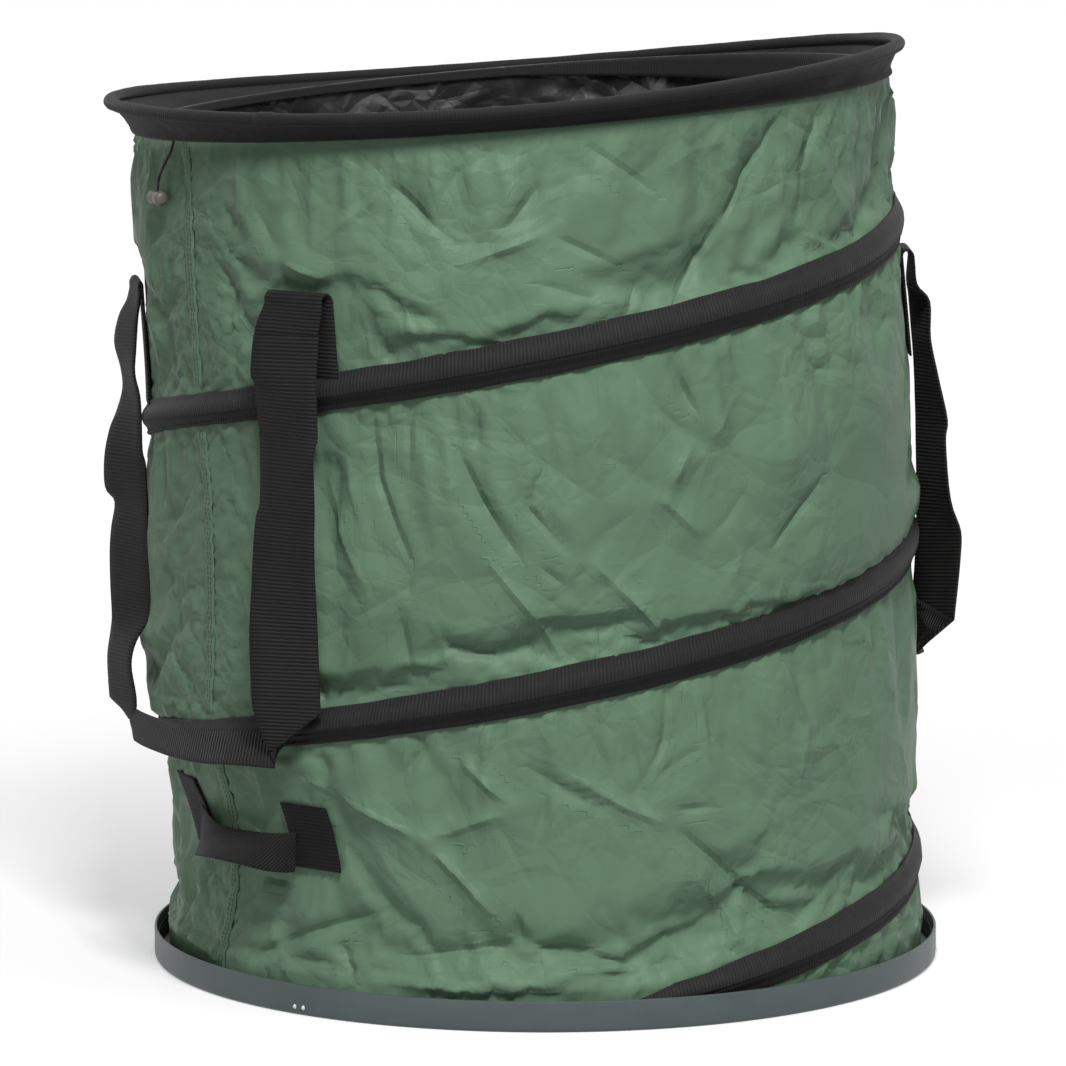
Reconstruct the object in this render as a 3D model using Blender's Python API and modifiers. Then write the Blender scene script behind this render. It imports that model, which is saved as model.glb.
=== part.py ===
"""Pop-up leaf bag: a cloth drum held open by a spiral of spring wire and standing in a hard tray.

Metres, +Z up. The origin is at the middle of the tray's underside. The carry handles are on -X and +X,
and the short handle for tipping the bag out is low on the -X side. Angles are in degrees, counted
counterclockwise from +X. An opened bag never stands quite straight, so the drum leans to one side and its
rim tilts and waves a little. Every piece follows the same lean.
"""
import math

import bmesh
import bpy
from mathutils import Matrix, Vector

# Fineness and clearances
SEGMENTS = 40
TUBE_SIDES = 6
STEP_ANGLE = 360 / SEGMENTS
GAP = 0.0003
SEWN_GAP = 0.0005
CUT_OVERRUN = 0.002
MERGE_DISTANCE = 0.00001

# Tray
TRAY_RADIUS = 0.285
TRAY_HEIGHT = 0.022
TRAY_WALL = 0.002
TRAY_FLOOR = 0.0025
TRAY_CORNER = 0.003

# Rivets that hold the cloth's hem in the tray, in pairs
RIVET_PAIRS = 3
RIVET_FIRST_ANGLE = 205
RIVET_SPACING = 0.0076
RIVET_HEIGHT = 0.0058
RIVET_HEAD_RADIUS = 0.0018
RIVET_HEAD_RISE = 0.0008
RIVET_DOME_SHARES = (0.6, 0.8)
RIVET_SHANK_RADIUS = 0.0009
RIVET_HOLE_RADIUS = 0.0013
RIVET_TAIL = 0.0005

# Cloth drum: each row gives the height, the radius and the lean as shares of the three sizes above it
NECK_HEIGHT = 0.621
WALL_RADIUS = 0.2735
RIM_LEAN = 0.0297
WALL_SHARES = (
    (0.000, 1.002, 0.00),
    (0.048, 1.002, 0.00),
    (0.080, 0.989, 0.00),
    (0.120, 0.978, 0.00),
    (0.190, 0.971, 0.00),
    (0.230, 0.974, 0.12),
    (0.300, 0.995, 0.33),
    (0.405, 0.989, 0.33),
    (0.510, 1.000, 0.31),
    (0.690, 1.000, 0.40),
    (0.790, 0.997, 0.57),
    (0.895, 0.988, 0.75),
    (1.000, 0.986, 0.82),
)
TILT_START_SHARE = 0.79
LEAN_ANGLE = 152
NECK_TILT = 0.0208
CLOTH = 0.0012
FLOOR_CLOTH = 0.001

# Hem inside the tray, and the piping round its bottom hoop
HEM_TAPE = 0.001
HEM_TAPE_HEIGHT = 0.012
PIPING_RADIUS = 0.0046
PIPING_BORE = 0.0030

# Spring wire, its spiral and the tape casing that holds it to the cloth
WIRE_RADIUS = 0.0015
FERRULE_BORE = 0.0018
FERRULE_RADIUS = 0.0025
FERRULE_LENGTH = 0.026
WIRE_END_GAP = 0.0006
SPIRAL_START_ANGLE = -459
SPIRAL_END_ANGLE = 450
SPIRAL_START_HEIGHT = 0.0162
SPIRAL_PITCH = 0.231
SPIRAL_TILT = 0.0165
CASING_HEIGHT = 0.028
CASING_DEPTH = 0.0052
CASING_EDGE = 0.0013
CASING_STAND_OFF = 0.0016
CASING_CROWN_SHARE = 0.44
CASING_BORE = 0.0021

# Rim: a wire hoop in a rolled binding, over a flared collar of tape
RIM_RISE = 0.0147
RIM_RADIUS = 0.2825
RIM_TILT = 0.0212
RIM_LOW_ANGLE = 140.6
RIM_WAVE = 0.00625
LIP_RADIUS = 0.0046
LIP_BORE = 0.0030
LIP_JOINT = 0.001
LIP_JOINT_STATION = 23
RIM_FERRULE_STATION = 5
BASE_FERRULE_STATION = 15
COLLAR_TAPE = 0.0012
COLLAR_LAP = 0.006

# Side seam
SEAM_ANGLE = 185
SEAM_WIDTH = 0.012
SEAM_THICKNESS = 0.001

# Webbing
WEBBING_WIDTH = 0.048
WEBBING = 0.002

# Carry handles: a sewn tab stands up at each end, folds over and runs down into a long loop
HANDLE_SPREAD = 26.75
HANDLE_FOLD_HEIGHT = 0.506
HANDLE_LEVEL_DIFFERENCE = 0.008
HANDLE_LENGTH = 0.325
HANDLE_TAB = 0.072
HANDLE_FOLD_RADIUS = 0.0045
HANDLE_STAND_OFF = 0.012
FOLD_ANGLES = (180, 144, 108, 72, 36, 0)
LEG_SHARES = (0.12, 0.35, 0.62)

# Tipping handle
GRIP_ANGLE = 190.5
GRIP_SPREAD = 14.5
GRIP_PATCH_WIDTH = 0.042
GRIP_PATCH_BOTTOM = 0.101
GRIP_PATCH_TOP = 0.146
GRIP_STRAP_TOP = 0.121
GRIP_STRAP_WIDTH = 0.028
GRIP_STRAP_BOW = 0.020
GRIP_STRAP_STEPS = 12
GRIP_SEWN_SHARE = 0.8

# Cord toggle that holds the folded bag shut. The route runs from the collar's edge to the toggle.
CORD_RADIUS = 0.001
CORD_SPACING = 0.005
CORD_ROUTE = (
    (-0.29275, 0.00192, 0.60265),
    (-0.29358, 0.00555, 0.59450),
    (-0.29522, 0.01301, 0.58500),
    (-0.29618, 0.01960, 0.57550),
    (-0.29655, 0.02139, 0.56620),
)
TOGGLE_LENGTH = 0.020
TOGGLE_RADIUS = 0.0052
TOGGLE_WAIST_SHARE = 0.84
TOGGLE_END_SHARES = ((0, 1), (0.6, 0.96), (0.92, 0.82), (1, 0.6), (TOGGLE_WAIST_SHARE, 0.2))

LEAN_X = math.cos(math.radians(LEAN_ANGLE))
LEAN_Y = math.sin(math.radians(LEAN_ANGLE))
WALL_BOTTOM = TRAY_FLOOR + GAP
WEBBING_SEAT = SEWN_GAP + GAP


def clear_scene():
    for thing in list(bpy.data.objects):
        bpy.data.objects.remove(thing, do_unlink=True)


def new_collection(name):
    collection = bpy.data.collections.new(name)
    bpy.context.scene.collection.children.link(collection)
    return collection


def finish(name, colour, roughness, metallic=0.0):
    """A plain Principled material."""
    material = bpy.data.materials.new(name)
    material.use_nodes = True
    shader = material.node_tree.nodes["Principled BSDF"]
    shader.inputs["Base Color"].default_value = (*colour, 1)
    shader.inputs["Roughness"].default_value = roughness
    shader.inputs["Metallic"].default_value = metallic
    material.diffuse_color = (*colour, 1)
    return material


def direction(angle):
    return Vector((math.cos(math.radians(angle)), math.sin(math.radians(angle)), 0))


def wall_at(height):
    """Radius and lean of the drum's outer face at a height, straight between the rows of WALL_SHARES."""
    share = min(max(height / NECK_HEIGHT, 0), 1)
    for low, high in zip(WALL_SHARES, WALL_SHARES[1:]):
        if share <= high[0]:
            part = (share - low[0]) / (high[0] - low[0])
            radius = low[1] + part * (high[1] - low[1])
            lean = low[2] + part * (high[2] - low[2])
            return radius * WALL_RADIUS, lean * RIM_LEAN
    return WALL_SHARES[-1][1] * WALL_RADIUS, WALL_SHARES[-1][2] * RIM_LEAN


def level_point(level, angle, off):
    """A point that stands off one of the drum's rings, before the neck's tilt."""
    radius, lean = wall_at(level)
    return Vector((LEAN_X * lean, LEAN_Y * lean, level)) + direction(angle) * (radius + off)


def wall_point(height, angle, off):
    """A point that stands off the drum's outer face at a true height."""
    point = level_point(height - neck_shift(height, angle), angle, off)
    point.z = height
    return point


def neck_shift(height, angle):
    """How far the tilt of the neck lifts or lowers a point of the drum."""
    weight = max(0, (height / NECK_HEIGHT - TILT_START_SHARE) / (1 - TILT_START_SHARE))
    return -NECK_TILT * weight * math.cos(math.radians(angle - LEAN_ANGLE))


def neck_point(rise, angle, off):
    """A point near the collar, a rise above the tilted line of the neck."""
    point = level_point(NECK_HEIGHT, angle, off)
    point.z += rise + neck_shift(NECK_HEIGHT, angle)
    return point


def rim_point(angle):
    """The middle of the rim's wire hoop."""
    height = NECK_HEIGHT + RIM_RISE - RIM_TILT * math.cos(math.radians(angle - RIM_LOW_ANGLE))
    height += RIM_WAVE * math.cos(math.radians(2 * (angle - LEAN_ANGLE)))
    return Vector((LEAN_X * RIM_LEAN, LEAN_Y * RIM_LEAN, height)) + direction(angle) * RIM_RADIUS


def spiral_height(angle):
    """Height of the spiral's middle line. The angle runs on from turn to turn."""
    turned_by = (angle - SPIRAL_START_ANGLE) / 360
    tilt = SPIRAL_TILT * math.cos(math.radians(angle - LEAN_ANGLE))
    return SPIRAL_START_HEIGHT + SPIRAL_PITCH * turned_by - tilt


def add_object(name, data, material, collection):
    thing = bpy.data.objects.new(name, data)
    data.materials.clear()
    data.materials.append(material)
    collection.objects.link(thing)
    return thing


def smooth(mesh, sharp_angle=40):
    mesh.shade_smooth()
    mesh.set_sharp_from_angle(angle=math.radians(sharp_angle))


def evaluated_mesh(thing):
    """The object's mesh with its modifiers applied."""
    depsgraph = bpy.context.evaluated_depsgraph_get()
    return bpy.data.meshes.new_from_object(thing.evaluated_get(depsgraph))


def turned(name, profile, material, collection, steps=SEGMENTS):
    """A profile of (radius, height) points on +X, turned round Z by a Screw modifier."""
    mesh = bpy.data.meshes.new(name)
    points = [(radius, 0, height) for radius, height in profile]
    mesh.from_pydata(points, [(i, i + 1) for i in range(len(points) - 1)], [])
    thing = add_object(name, mesh, material, collection)
    screw = thing.modifiers.new("Turn", "SCREW")
    screw.steps = screw.render_steps = steps
    screw.use_merge_vertices = True
    screw.merge_threshold = MERGE_DISTANCE
    screw.use_smooth_shade = False
    return thing


def baked(thing):
    """Replaces the object's mesh by what its modifiers make of it."""
    mesh = evaluated_mesh(thing)
    old = thing.data
    thing.modifiers.clear()
    thing.data = mesh
    bpy.data.meshes.remove(old)
    return thing


def loft(name, sections, material, collection):
    """A closed solid through outlines of equal count, capped at both ends."""
    bm = bmesh.new()
    rings = [[bm.verts.new(point) for point in section] for section in sections]
    count = len(rings[0])
    for low, high in zip(rings, rings[1:]):
        for i in range(count):
            j = (i + 1) % count
            bm.faces.new((low[i], low[j], high[j], high[i]))
    half = count // 2
    for ring in (rings[0], rings[-1]):
        for i in range(half - 1):
            bm.faces.new((ring[i], ring[i + 1], ring[count - 2 - i], ring[count - 1 - i]))
    bmesh.ops.recalc_face_normals(bm, faces=bm.faces)
    mesh = bpy.data.meshes.new(name)
    bm.to_mesh(mesh)
    bm.free()
    smooth(mesh)
    return add_object(name, mesh, material, collection)


def loft_tube(name, outer, inner, material, collection):
    """A solid through outlines with a bore through it, open at both ends."""
    bm = bmesh.new()
    skins = []
    for sections in (outer, inner):
        skins.append([[bm.verts.new(point) for point in section] for section in sections])
    count = len(outer[0])
    for skin in skins:
        for low, high in zip(skin, skin[1:]):
            for i in range(count):
                j = (i + 1) % count
                bm.faces.new((low[i], low[j], high[j], high[i]))
    for end in (0, -1):
        for i in range(count):
            j = (i + 1) % count
            bm.faces.new((skins[0][end][i], skins[0][end][j], skins[1][end][j], skins[1][end][i]))
    bmesh.ops.recalc_face_normals(bm, faces=bm.faces)
    mesh = bpy.data.meshes.new(name)
    bm.to_mesh(mesh)
    bm.free()
    smooth(mesh)
    return add_object(name, mesh, material, collection)


def wire(name, points, radius, material, collection):
    """A round wire along the points, with flat caps."""
    curve = bpy.data.curves.new(name, "CURVE")
    curve.dimensions = "3D"
    curve.bevel_depth = radius
    curve.bevel_resolution = 2
    curve.use_fill_caps = True
    spline = curve.splines.new("POLY")
    spline.points.add(len(points) - 1)
    for knot, point in zip(spline.points, points):
        knot.co = (*point, 1)
    return add_object(name, curve, material, collection)


def circle_section(centre, out, radius):
    """A round outline in the plane of the out direction and +Z."""
    up = Vector((0, 0, 1))
    section = []
    for i in range(TUBE_SIDES):
        angle = 2 * math.pi * (i + 0.5) / TUBE_SIDES
        section.append(centre + radius * (math.cos(angle) * out + math.sin(angle) * up))
    return section


def ring_stations(start, joint_angle):
    """Angles once round from a joint, stopping just short of it."""
    angles = [start + joint_angle / 2]
    angles += [start + i * STEP_ANGLE for i in range(1, SEGMENTS)]
    angles.append(start + 360 - joint_angle / 2)
    return angles


def set_origin(thing, point):
    """Moves the object's origin and leaves its shape where it is."""
    offset = Vector(point)
    thing.data.transform(Matrix.Translation(-offset))
    thing.location = offset


def joint_frame(name, point, collection, parent=None):
    """An empty on a joint's axis, which carries the pieces that move with it."""
    frame = bpy.data.objects.new(name, None)
    collection.objects.link(frame)
    frame.parent = parent
    frame.location = Vector(point) - (parent.matrix_world.translation if parent else Vector())
    bpy.context.view_layer.update()
    return frame


def carry(frame, *things):
    """Hangs pieces on a joint's frame, with their origins on its axis."""
    for thing in things:
        set_origin(thing, frame.matrix_world.translation)
        thing.location = (0, 0, 0)
        thing.parent = frame


def casing_top(angle):
    return spiral_height(angle) + CASING_HEIGHT / 2


def casing_bottom(angle):
    return spiral_height(angle) - CASING_HEIGHT / 2


def make_tray(parts, cutters, plastic):
    inner = TRAY_RADIUS - TRAY_WALL
    corner = TRAY_CORNER - TRAY_WALL
    profile = [(0, TRAY_FLOOR), (inner - corner, TRAY_FLOOR), (inner, TRAY_FLOOR + corner)]
    profile += [(inner, TRAY_HEIGHT), (TRAY_RADIUS, TRAY_HEIGHT)]
    for share in (0, 1 / 2, 1):
        angle = math.radians(90 * share)
        radius = TRAY_RADIUS - TRAY_CORNER + TRAY_CORNER * math.cos(angle)
        profile.append((radius, TRAY_CORNER - TRAY_CORNER * math.sin(angle)))
    profile.append((0, 0))
    tray = baked(turned("base_tray", profile, plastic, parts, 2 * SEGMENTS))
    cut_rivet_holes(tray, cutters)
    smooth(tray.data)
    return tray


def rivet_angles():
    step = math.degrees(RIVET_SPACING / TRAY_RADIUS)
    angles = []
    for pair in range(RIVET_PAIRS):
        middle = RIVET_FIRST_ANGLE + pair * 360 / RIVET_PAIRS
        angles += [middle - step / 2, middle + step / 2]
    return angles


def radial_frame(angle, radius, height):
    """A matrix whose Z points outwards at an angle of the tray."""
    turn = Matrix.Rotation(math.radians(angle), 4, "Z") @ Matrix.Rotation(math.radians(90), 4, "Y")
    return Matrix.Translation(direction(angle) * radius + Vector((0, 0, height))) @ turn


def cut_rivet_holes(thing, cutters):
    """One cutter with all the rivets' holes, left in place as a live Boolean's tool."""
    bm = bmesh.new()
    for angle in rivet_angles():
        depth = TRAY_WALL + HEM_TAPE + 2 * CUT_OVERRUN
        matrix = radial_frame(angle, TRAY_RADIUS - (TRAY_WALL + HEM_TAPE) / 2, RIVET_HEIGHT)
        bmesh.ops.create_cone(
            bm, cap_ends=True, segments=TUBE_SIDES, radius1=RIVET_HOLE_RADIUS,
            radius2=RIVET_HOLE_RADIUS, depth=depth, matrix=matrix)
    mesh = bpy.data.meshes.new(f"{thing.name}_hole_cutter")
    bm.to_mesh(mesh)
    bm.free()
    cutter = bpy.data.objects.new(mesh.name, mesh)
    cutter.hide_render = True
    cutter.display_type = "WIRE"
    cutters.objects.link(cutter)
    cut = thing.modifiers.new("Rivet holes", "BOOLEAN")
    cut.object = cutter
    cut.operation = "DIFFERENCE"
    cut.solver = "EXACT"


def hem_outer():
    return TRAY_RADIUS - TRAY_WALL - 2 * GAP


def make_hem_tape(parts, cutters, tape):
    outer = hem_outer()
    inner = outer - HEM_TAPE
    low = WALL_BOTTOM + TRAY_CORNER - TRAY_WALL
    high = low + HEM_TAPE_HEIGHT
    profile = [(inner, low), (inner, high), (outer, high), (outer, low), (inner, low)]
    hem = baked(turned("hem_tape", profile, tape, parts, 2 * SEGMENTS))
    bm = bmesh.new()
    bm.from_mesh(hem.data)
    bmesh.ops.remove_doubles(bm, verts=bm.verts, dist=GAP / 10)
    bmesh.ops.recalc_face_normals(bm, faces=bm.faces)
    bm.to_mesh(hem.data)
    bm.free()
    cut_rivet_holes(hem, cutters)
    smooth(hem.data)
    return hem


def make_rivets(parts, steel):
    """Domed heads outside the tray, shanks through its wall and the hem tape, and flat tails inside."""
    head = GAP + RIVET_HEAD_RISE
    grip = TRAY_RADIUS - hem_outer() + HEM_TAPE + SEWN_GAP + GAP
    dome_radius_share, dome_rise_share = RIVET_DOME_SHARES
    profile = [
        (0, head),
        (RIVET_HEAD_RADIUS * dome_radius_share, GAP + RIVET_HEAD_RISE * dome_rise_share),
        (RIVET_HEAD_RADIUS, GAP),
        (RIVET_SHANK_RADIUS, GAP),
        (RIVET_SHANK_RADIUS, -grip),
        (RIVET_HEAD_RADIUS, -grip),
        (RIVET_HEAD_RADIUS, -grip - RIVET_TAIL),
        (0, -grip - RIVET_TAIL),
    ]
    pattern = turned("rivet_pattern", profile, steel, parts, TUBE_SIDES)
    mesh = evaluated_mesh(pattern)
    mesh.name = "tray_rivet"
    smooth(mesh)
    bpy.data.objects.remove(pattern, do_unlink=True)
    for number, angle in enumerate(rivet_angles(), 1):
        rivet = bpy.data.objects.new(f"tray_rivet_{number}", mesh)
        rivet.matrix_world = radial_frame(angle, TRAY_RADIUS, RIVET_HEIGHT)
        parts.objects.link(rivet)


def lean_mesh(mesh):
    """Gives a turned wall the drum's lean and its tilted neck."""
    for vertex in mesh.vertices:
        lean = wall_at(vertex.co.z)[1]
        angle = math.degrees(math.atan2(vertex.co.y, vertex.co.x))
        shift = neck_shift(vertex.co.z, angle)
        vertex.co += Vector((LEAN_X * lean, LEAN_Y * lean, shift))
    mesh.update()


def make_wall(parts, cloth):
    """The drum: one turned skin, leaned, then thickened inwards."""
    heights = [share[0] * NECK_HEIGHT for share in WALL_SHARES]
    heights[0] = WALL_BOTTOM
    profile = [(wall_at(height)[0], height) for height in reversed(heights)]
    wall = baked(turned("wall_cloth", profile, cloth, parts))
    lean_mesh(wall.data)
    for vertex in wall.data.vertices:
        if vertex.co.z > NECK_HEIGHT - NECK_TILT - GAP:
            vertex.co.z += COLLAR_LAP - GAP
    thickness = wall.modifiers.new("Cloth", "SOLIDIFY")
    thickness.thickness = CLOTH
    thickness.offset = -1
    smooth(wall.data)
    return wall


def floor_radius():
    return wall_at(0)[0] - CLOTH - 2 * GAP


def make_floor(parts, cloth):
    low = WALL_BOTTOM
    bm = bmesh.new()
    matrix = Matrix.Translation((0, 0, low + FLOOR_CLOTH / 2))
    bmesh.ops.create_cone(
        bm, cap_ends=True, segments=SEGMENTS, radius1=floor_radius(), radius2=floor_radius(),
        depth=FLOOR_CLOTH, matrix=matrix)
    mesh = bpy.data.meshes.new("floor_cloth")
    bm.to_mesh(mesh)
    bm.free()
    return add_object("floor_cloth", mesh, cloth, parts)


def piping_point(angle):
    """The middle of the bottom hoop, in the corner between wall and floor."""
    height = WALL_BOTTOM + FLOOR_CLOTH + GAP + PIPING_RADIUS
    radius = floor_radius() - PIPING_RADIUS
    return direction(angle) * radius + Vector((0, 0, height))


def make_bound_hoop(names, path, radius, bore, stations, materials, parts):
    """A wire hoop whose ends meet in a crimped ferrule, inside a rolled binding with one joint."""
    piping_name, hoop_name, ferrule_name = names
    tape, steel = materials
    joint_station, ferrule_station = stations
    joint_angle = math.degrees(LIP_JOINT / RIM_RADIUS)
    angles = ring_stations(joint_station * STEP_ANGLE, joint_angle)
    outer = [circle_section(path(a), direction(a), radius) for a in angles]
    inner = [circle_section(path(a), direction(a), bore) for a in angles]
    binding = loft_tube(piping_name, outer, inner, tape, parts)
    start = path(ferrule_station * STEP_ANGLE)
    end = path((ferrule_station + 1) * STEP_ANGLE)
    middle = (start + end) / 2
    along = (end - start).normalized()
    points = [middle + along * WIRE_END_GAP / 2, end]
    points += [path((ferrule_station + i) * STEP_ANGLE) for i in range(2, SEGMENTS)]
    points += [start, middle - along * WIRE_END_GAP / 2]
    hoop = wire(hoop_name, points, WIRE_RADIUS, steel, parts)
    out = direction((ferrule_station + 0.5) * STEP_ANGLE)
    ends = [middle - along * FERRULE_LENGTH / 2, middle + along * FERRULE_LENGTH / 2]
    ferrule = loft_tube(
        ferrule_name,
        [circle_section(point, out, FERRULE_RADIUS) for point in ends],
        [circle_section(point, out, FERRULE_BORE) for point in ends],
        steel, parts)
    return binding, hoop, ferrule


def casing_outlines(angle):
    """The casing's outline and bore where it crosses one angle: flat on the cloth, crowned over the wire."""
    middle = spiral_height(angle)
    half = CASING_HEIGHT / 2
    crown = half * CASING_CROWN_SHARE
    near = CASING_STAND_OFF
    edge = near + CASING_EDGE
    far = near + CASING_DEPTH
    corners = [(-half, near), (0, near), (half, near), (half, edge), (crown, far), (-crown, far)]
    corners.append((-half, edge))
    outer = [wall_point(middle + rise, angle, off) for rise, off in corners]
    inner = []
    for i in range(len(corners)):
        reach = math.radians(240 - 360 * i / len(corners))
        bore = wall_point(middle, angle, near + CASING_DEPTH / 2 + CASING_BORE * math.cos(reach))
        inner.append(bore + Vector((0, 0, CASING_BORE * math.sin(reach))))
    return outer, inner


def spiral_angles():
    count = round((SPIRAL_END_ANGLE - SPIRAL_START_ANGLE) / STEP_ANGLE)
    step = (SPIRAL_END_ANGLE - SPIRAL_START_ANGLE) / count
    return [SPIRAL_START_ANGLE + i * step for i in range(count + 1)]


def make_spiral(parts, tape, steel):
    outlines = [casing_outlines(angle) for angle in spiral_angles()]
    outer = [outline[0] for outline in outlines]
    inner = [outline[1] for outline in outlines]
    casing = loft_tube("spiral_casing", outer, inner, tape, parts)
    off = CASING_STAND_OFF + CASING_DEPTH / 2
    points = [wall_point(spiral_height(a), a, off) for a in spiral_angles()]
    spring = wire("spiral_wire", points, WIRE_RADIUS, steel, parts)
    return casing, spring


def strip(edges, off, thickness, name, material, parts):
    """A strip lying on the drum. Each edge is (height, low angle, high angle)."""
    sections = []
    for height, low, high in edges:
        angles = [low, (low + high) / 2, high]
        near = [wall_point(height, angle, off) for angle in angles]
        far = [wall_point(height, angle, off + thickness) for angle in reversed(angles)]
        sections.append(near + far)
    return loft(name, sections, material, parts)


def make_seam(parts, cloth):
    """The side seam in three runs, broken where the spiral's casing is sewn over it."""
    half = math.degrees(SEAM_WIDTH / 2 / WALL_RADIUS)
    low_angle = SEAM_ANGLE - half
    high_angle = SEAM_ANGLE + half
    passes = []
    for turn in (1, 0):
        angle = SEAM_ANGLE - 360 * turn
        passes.append((casing_bottom(angle - half) - SEWN_GAP, casing_top(angle + half) + SEWN_GAP))
    neck = NECK_HEIGHT + neck_shift(NECK_HEIGHT, SEAM_ANGLE) - SEWN_GAP - GAP
    runs = [
        ("side_seam_lower", WALL_BOTTOM, passes[0][0]),
        ("side_seam_middle", passes[0][1], passes[1][0]),
        ("side_seam_upper", passes[1][1], neck),
    ]
    made = []
    for name, low, high in runs:
        inside = [s[0] * NECK_HEIGHT for s in WALL_SHARES if low < s[0] * NECK_HEIGHT < high]
        edges = [(height, low_angle, high_angle) for height in [low, *inside, high]]
        made.append(strip(edges, SEWN_GAP, SEAM_THICKNESS, name, cloth, parts))
    return made


def make_collar(parts, tape):
    """The flared tape between the neck of the drum and the rolled lip."""
    bm = bmesh.new()
    rows = []
    off = SEWN_GAP
    for station in range(SEGMENTS):
        angle = station * STEP_ANGLE
        foot = neck_point(0, angle, off)
        lap = neck_point(COLLAR_LAP, angle, off)
        lip = rim_point(angle)
        down = (lap - lip).normalized()
        top = lip + down * (LIP_RADIUS + SEWN_GAP)
        rows.append([foot, lap, (lap + top) / 2, top])
    grid = [[bm.verts.new(point) for point in row] for row in rows]
    for station in range(SEGMENTS):
        here = grid[station]
        there = grid[(station + 1) % SEGMENTS]
        for low in range(3):
            bm.faces.new((here[low], there[low], there[low + 1], here[low + 1]))
    mesh = bpy.data.meshes.new("rim_collar")
    bm.to_mesh(mesh)
    bm.free()
    collar = add_object("rim_collar", mesh, tape, parts)
    thickness = collar.modifiers.new("Tape", "SOLIDIFY")
    thickness.thickness = COLLAR_TAPE
    thickness.offset = 1
    smooth(mesh)
    return collar


def webbing_section(edge_points, off, lean_angle=0, thickness=WEBBING):
    """Outline across webbing. Its face looks outwards, or up where lean_angle is 90."""
    turn = math.radians(lean_angle)
    near = []
    far = []
    for height, angle in edge_points:
        middle = wall_point(height, angle, off)
        normal = direction(angle) * math.cos(turn) + Vector((0, 0, math.sin(turn)))
        near.append(middle - normal * thickness / 2)
        far.append(middle + normal * thickness / 2)
    return near + far[::-1]


def webbing_half_angle():
    return math.degrees(WEBBING_WIDTH / 2 / WALL_RADIUS)


def handle_fold_height(middle_angle):
    side = -1 if middle_angle == 180 else 1
    return HANDLE_FOLD_HEIGHT + side * HANDLE_LEVEL_DIFFERENCE / 2


def tab_off():
    return WEBBING_SEAT + WEBBING / 2


def make_handle_tab(name, middle_angle, end, parts, webbing):
    """The sewn end. On -X its foot meets the spiral's casing, and on +X it is sewn to the cloth."""
    fold = handle_fold_height(middle_angle)
    centre = middle_angle + end * HANDLE_SPREAD
    half = webbing_half_angle()
    angles = [centre - half, centre, centre + half]
    if middle_angle == 180:
        feet = [casing_top(angle) + SEWN_GAP for angle in angles]
    else:
        feet = [fold - HANDLE_TAB] * 3
    sections = []
    for share in (0, 0.5, 1):
        heights = [foot + share * (fold - GAP - foot) for foot in feet]
        sections.append(webbing_section(list(zip(heights, angles)), tab_off()))
    return loft(name, sections, webbing, parts)


def handle_leg(middle_angle, end):
    """Outlines of one leg, from its fold down and round the corner into the cross run.

    The corner is cut at 45 degrees and is two layers thick, as webbing folded on the diagonal is.
    """
    fold = handle_fold_height(middle_angle)
    bottom = fold - HANDLE_LENGTH
    centre = middle_angle + end * HANDLE_SPREAD
    half = webbing_half_angle()
    outer = centre + end * half
    inner = centre - end * half
    across = [outer, centre, inner]
    fold_middle = tab_off() + HANDLE_FOLD_RADIUS
    sections = []
    for turn in FOLD_ANGLES:
        off = fold_middle + HANDLE_FOLD_RADIUS * math.cos(math.radians(turn))
        height = fold + HANDLE_FOLD_RADIUS * math.sin(math.radians(turn))
        sections.append(webbing_section([(height, angle) for angle in across], off, turn))
    hang = fold_middle + HANDLE_FOLD_RADIUS
    corner_top = bottom + WEBBING_WIDTH
    for share in LEG_SHARES:
        off = hang + share * HANDLE_STAND_OFF
        height = fold - share * HANDLE_LENGTH
        sections.append(webbing_section([(height, angle) for angle in across], off))
    far = hang + HANDLE_STAND_OFF
    inset = WEBBING_WIDTH / 12
    sections.append(webbing_section([(corner_top + inset, angle) for angle in across], far))
    mitre = [(bottom + WEBBING_WIDTH / 2, centre)]
    mitre.append((bottom + WEBBING_WIDTH * 3 / 4, (centre + inner) / 2))
    mitre.append((corner_top, inner))
    layers = WEBBING + SEWN_GAP
    sections.append(webbing_section(mitre, far - layers / 2, 0, WEBBING + layers))
    turn_off = inner - end * math.degrees(inset / WALL_RADIUS)
    sections.append(cross_section(turn_off, bottom, far - layers))
    return sections, turn_off, far - layers


def cross_section(angle, bottom, off):
    """Outline of the cross run: its width stands upright."""
    rises = [0, WEBBING_WIDTH / 2, WEBBING_WIDTH]
    return webbing_section([(bottom + rise, angle) for rise in rises], off)


def make_handle_loop(name, middle_angle, parts, webbing):
    """One length of webbing from fold to fold."""
    bottom = handle_fold_height(middle_angle) - HANDLE_LENGTH
    first, start, off = handle_leg(middle_angle, 1)
    last, stop, off = handle_leg(middle_angle, -1)
    count = round(abs(start - stop) / (STEP_ANGLE / 2))
    run = []
    for i in range(1, count):
        angle = start + (stop - start) * i / count
        run.append(cross_section(angle, bottom, off))
    return loft(name, first + run + last[::-1], webbing, parts)


def fold_axis_point(middle_angle):
    """The middle of the straight line through the two folds of a carry handle."""
    fold = handle_fold_height(middle_angle)
    off = tab_off() + HANDLE_FOLD_RADIUS
    ends = [wall_point(fold, middle_angle + s * HANDLE_SPREAD, off) for s in (-1, 1)]
    return (ends[0] + ends[1]) / 2


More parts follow.
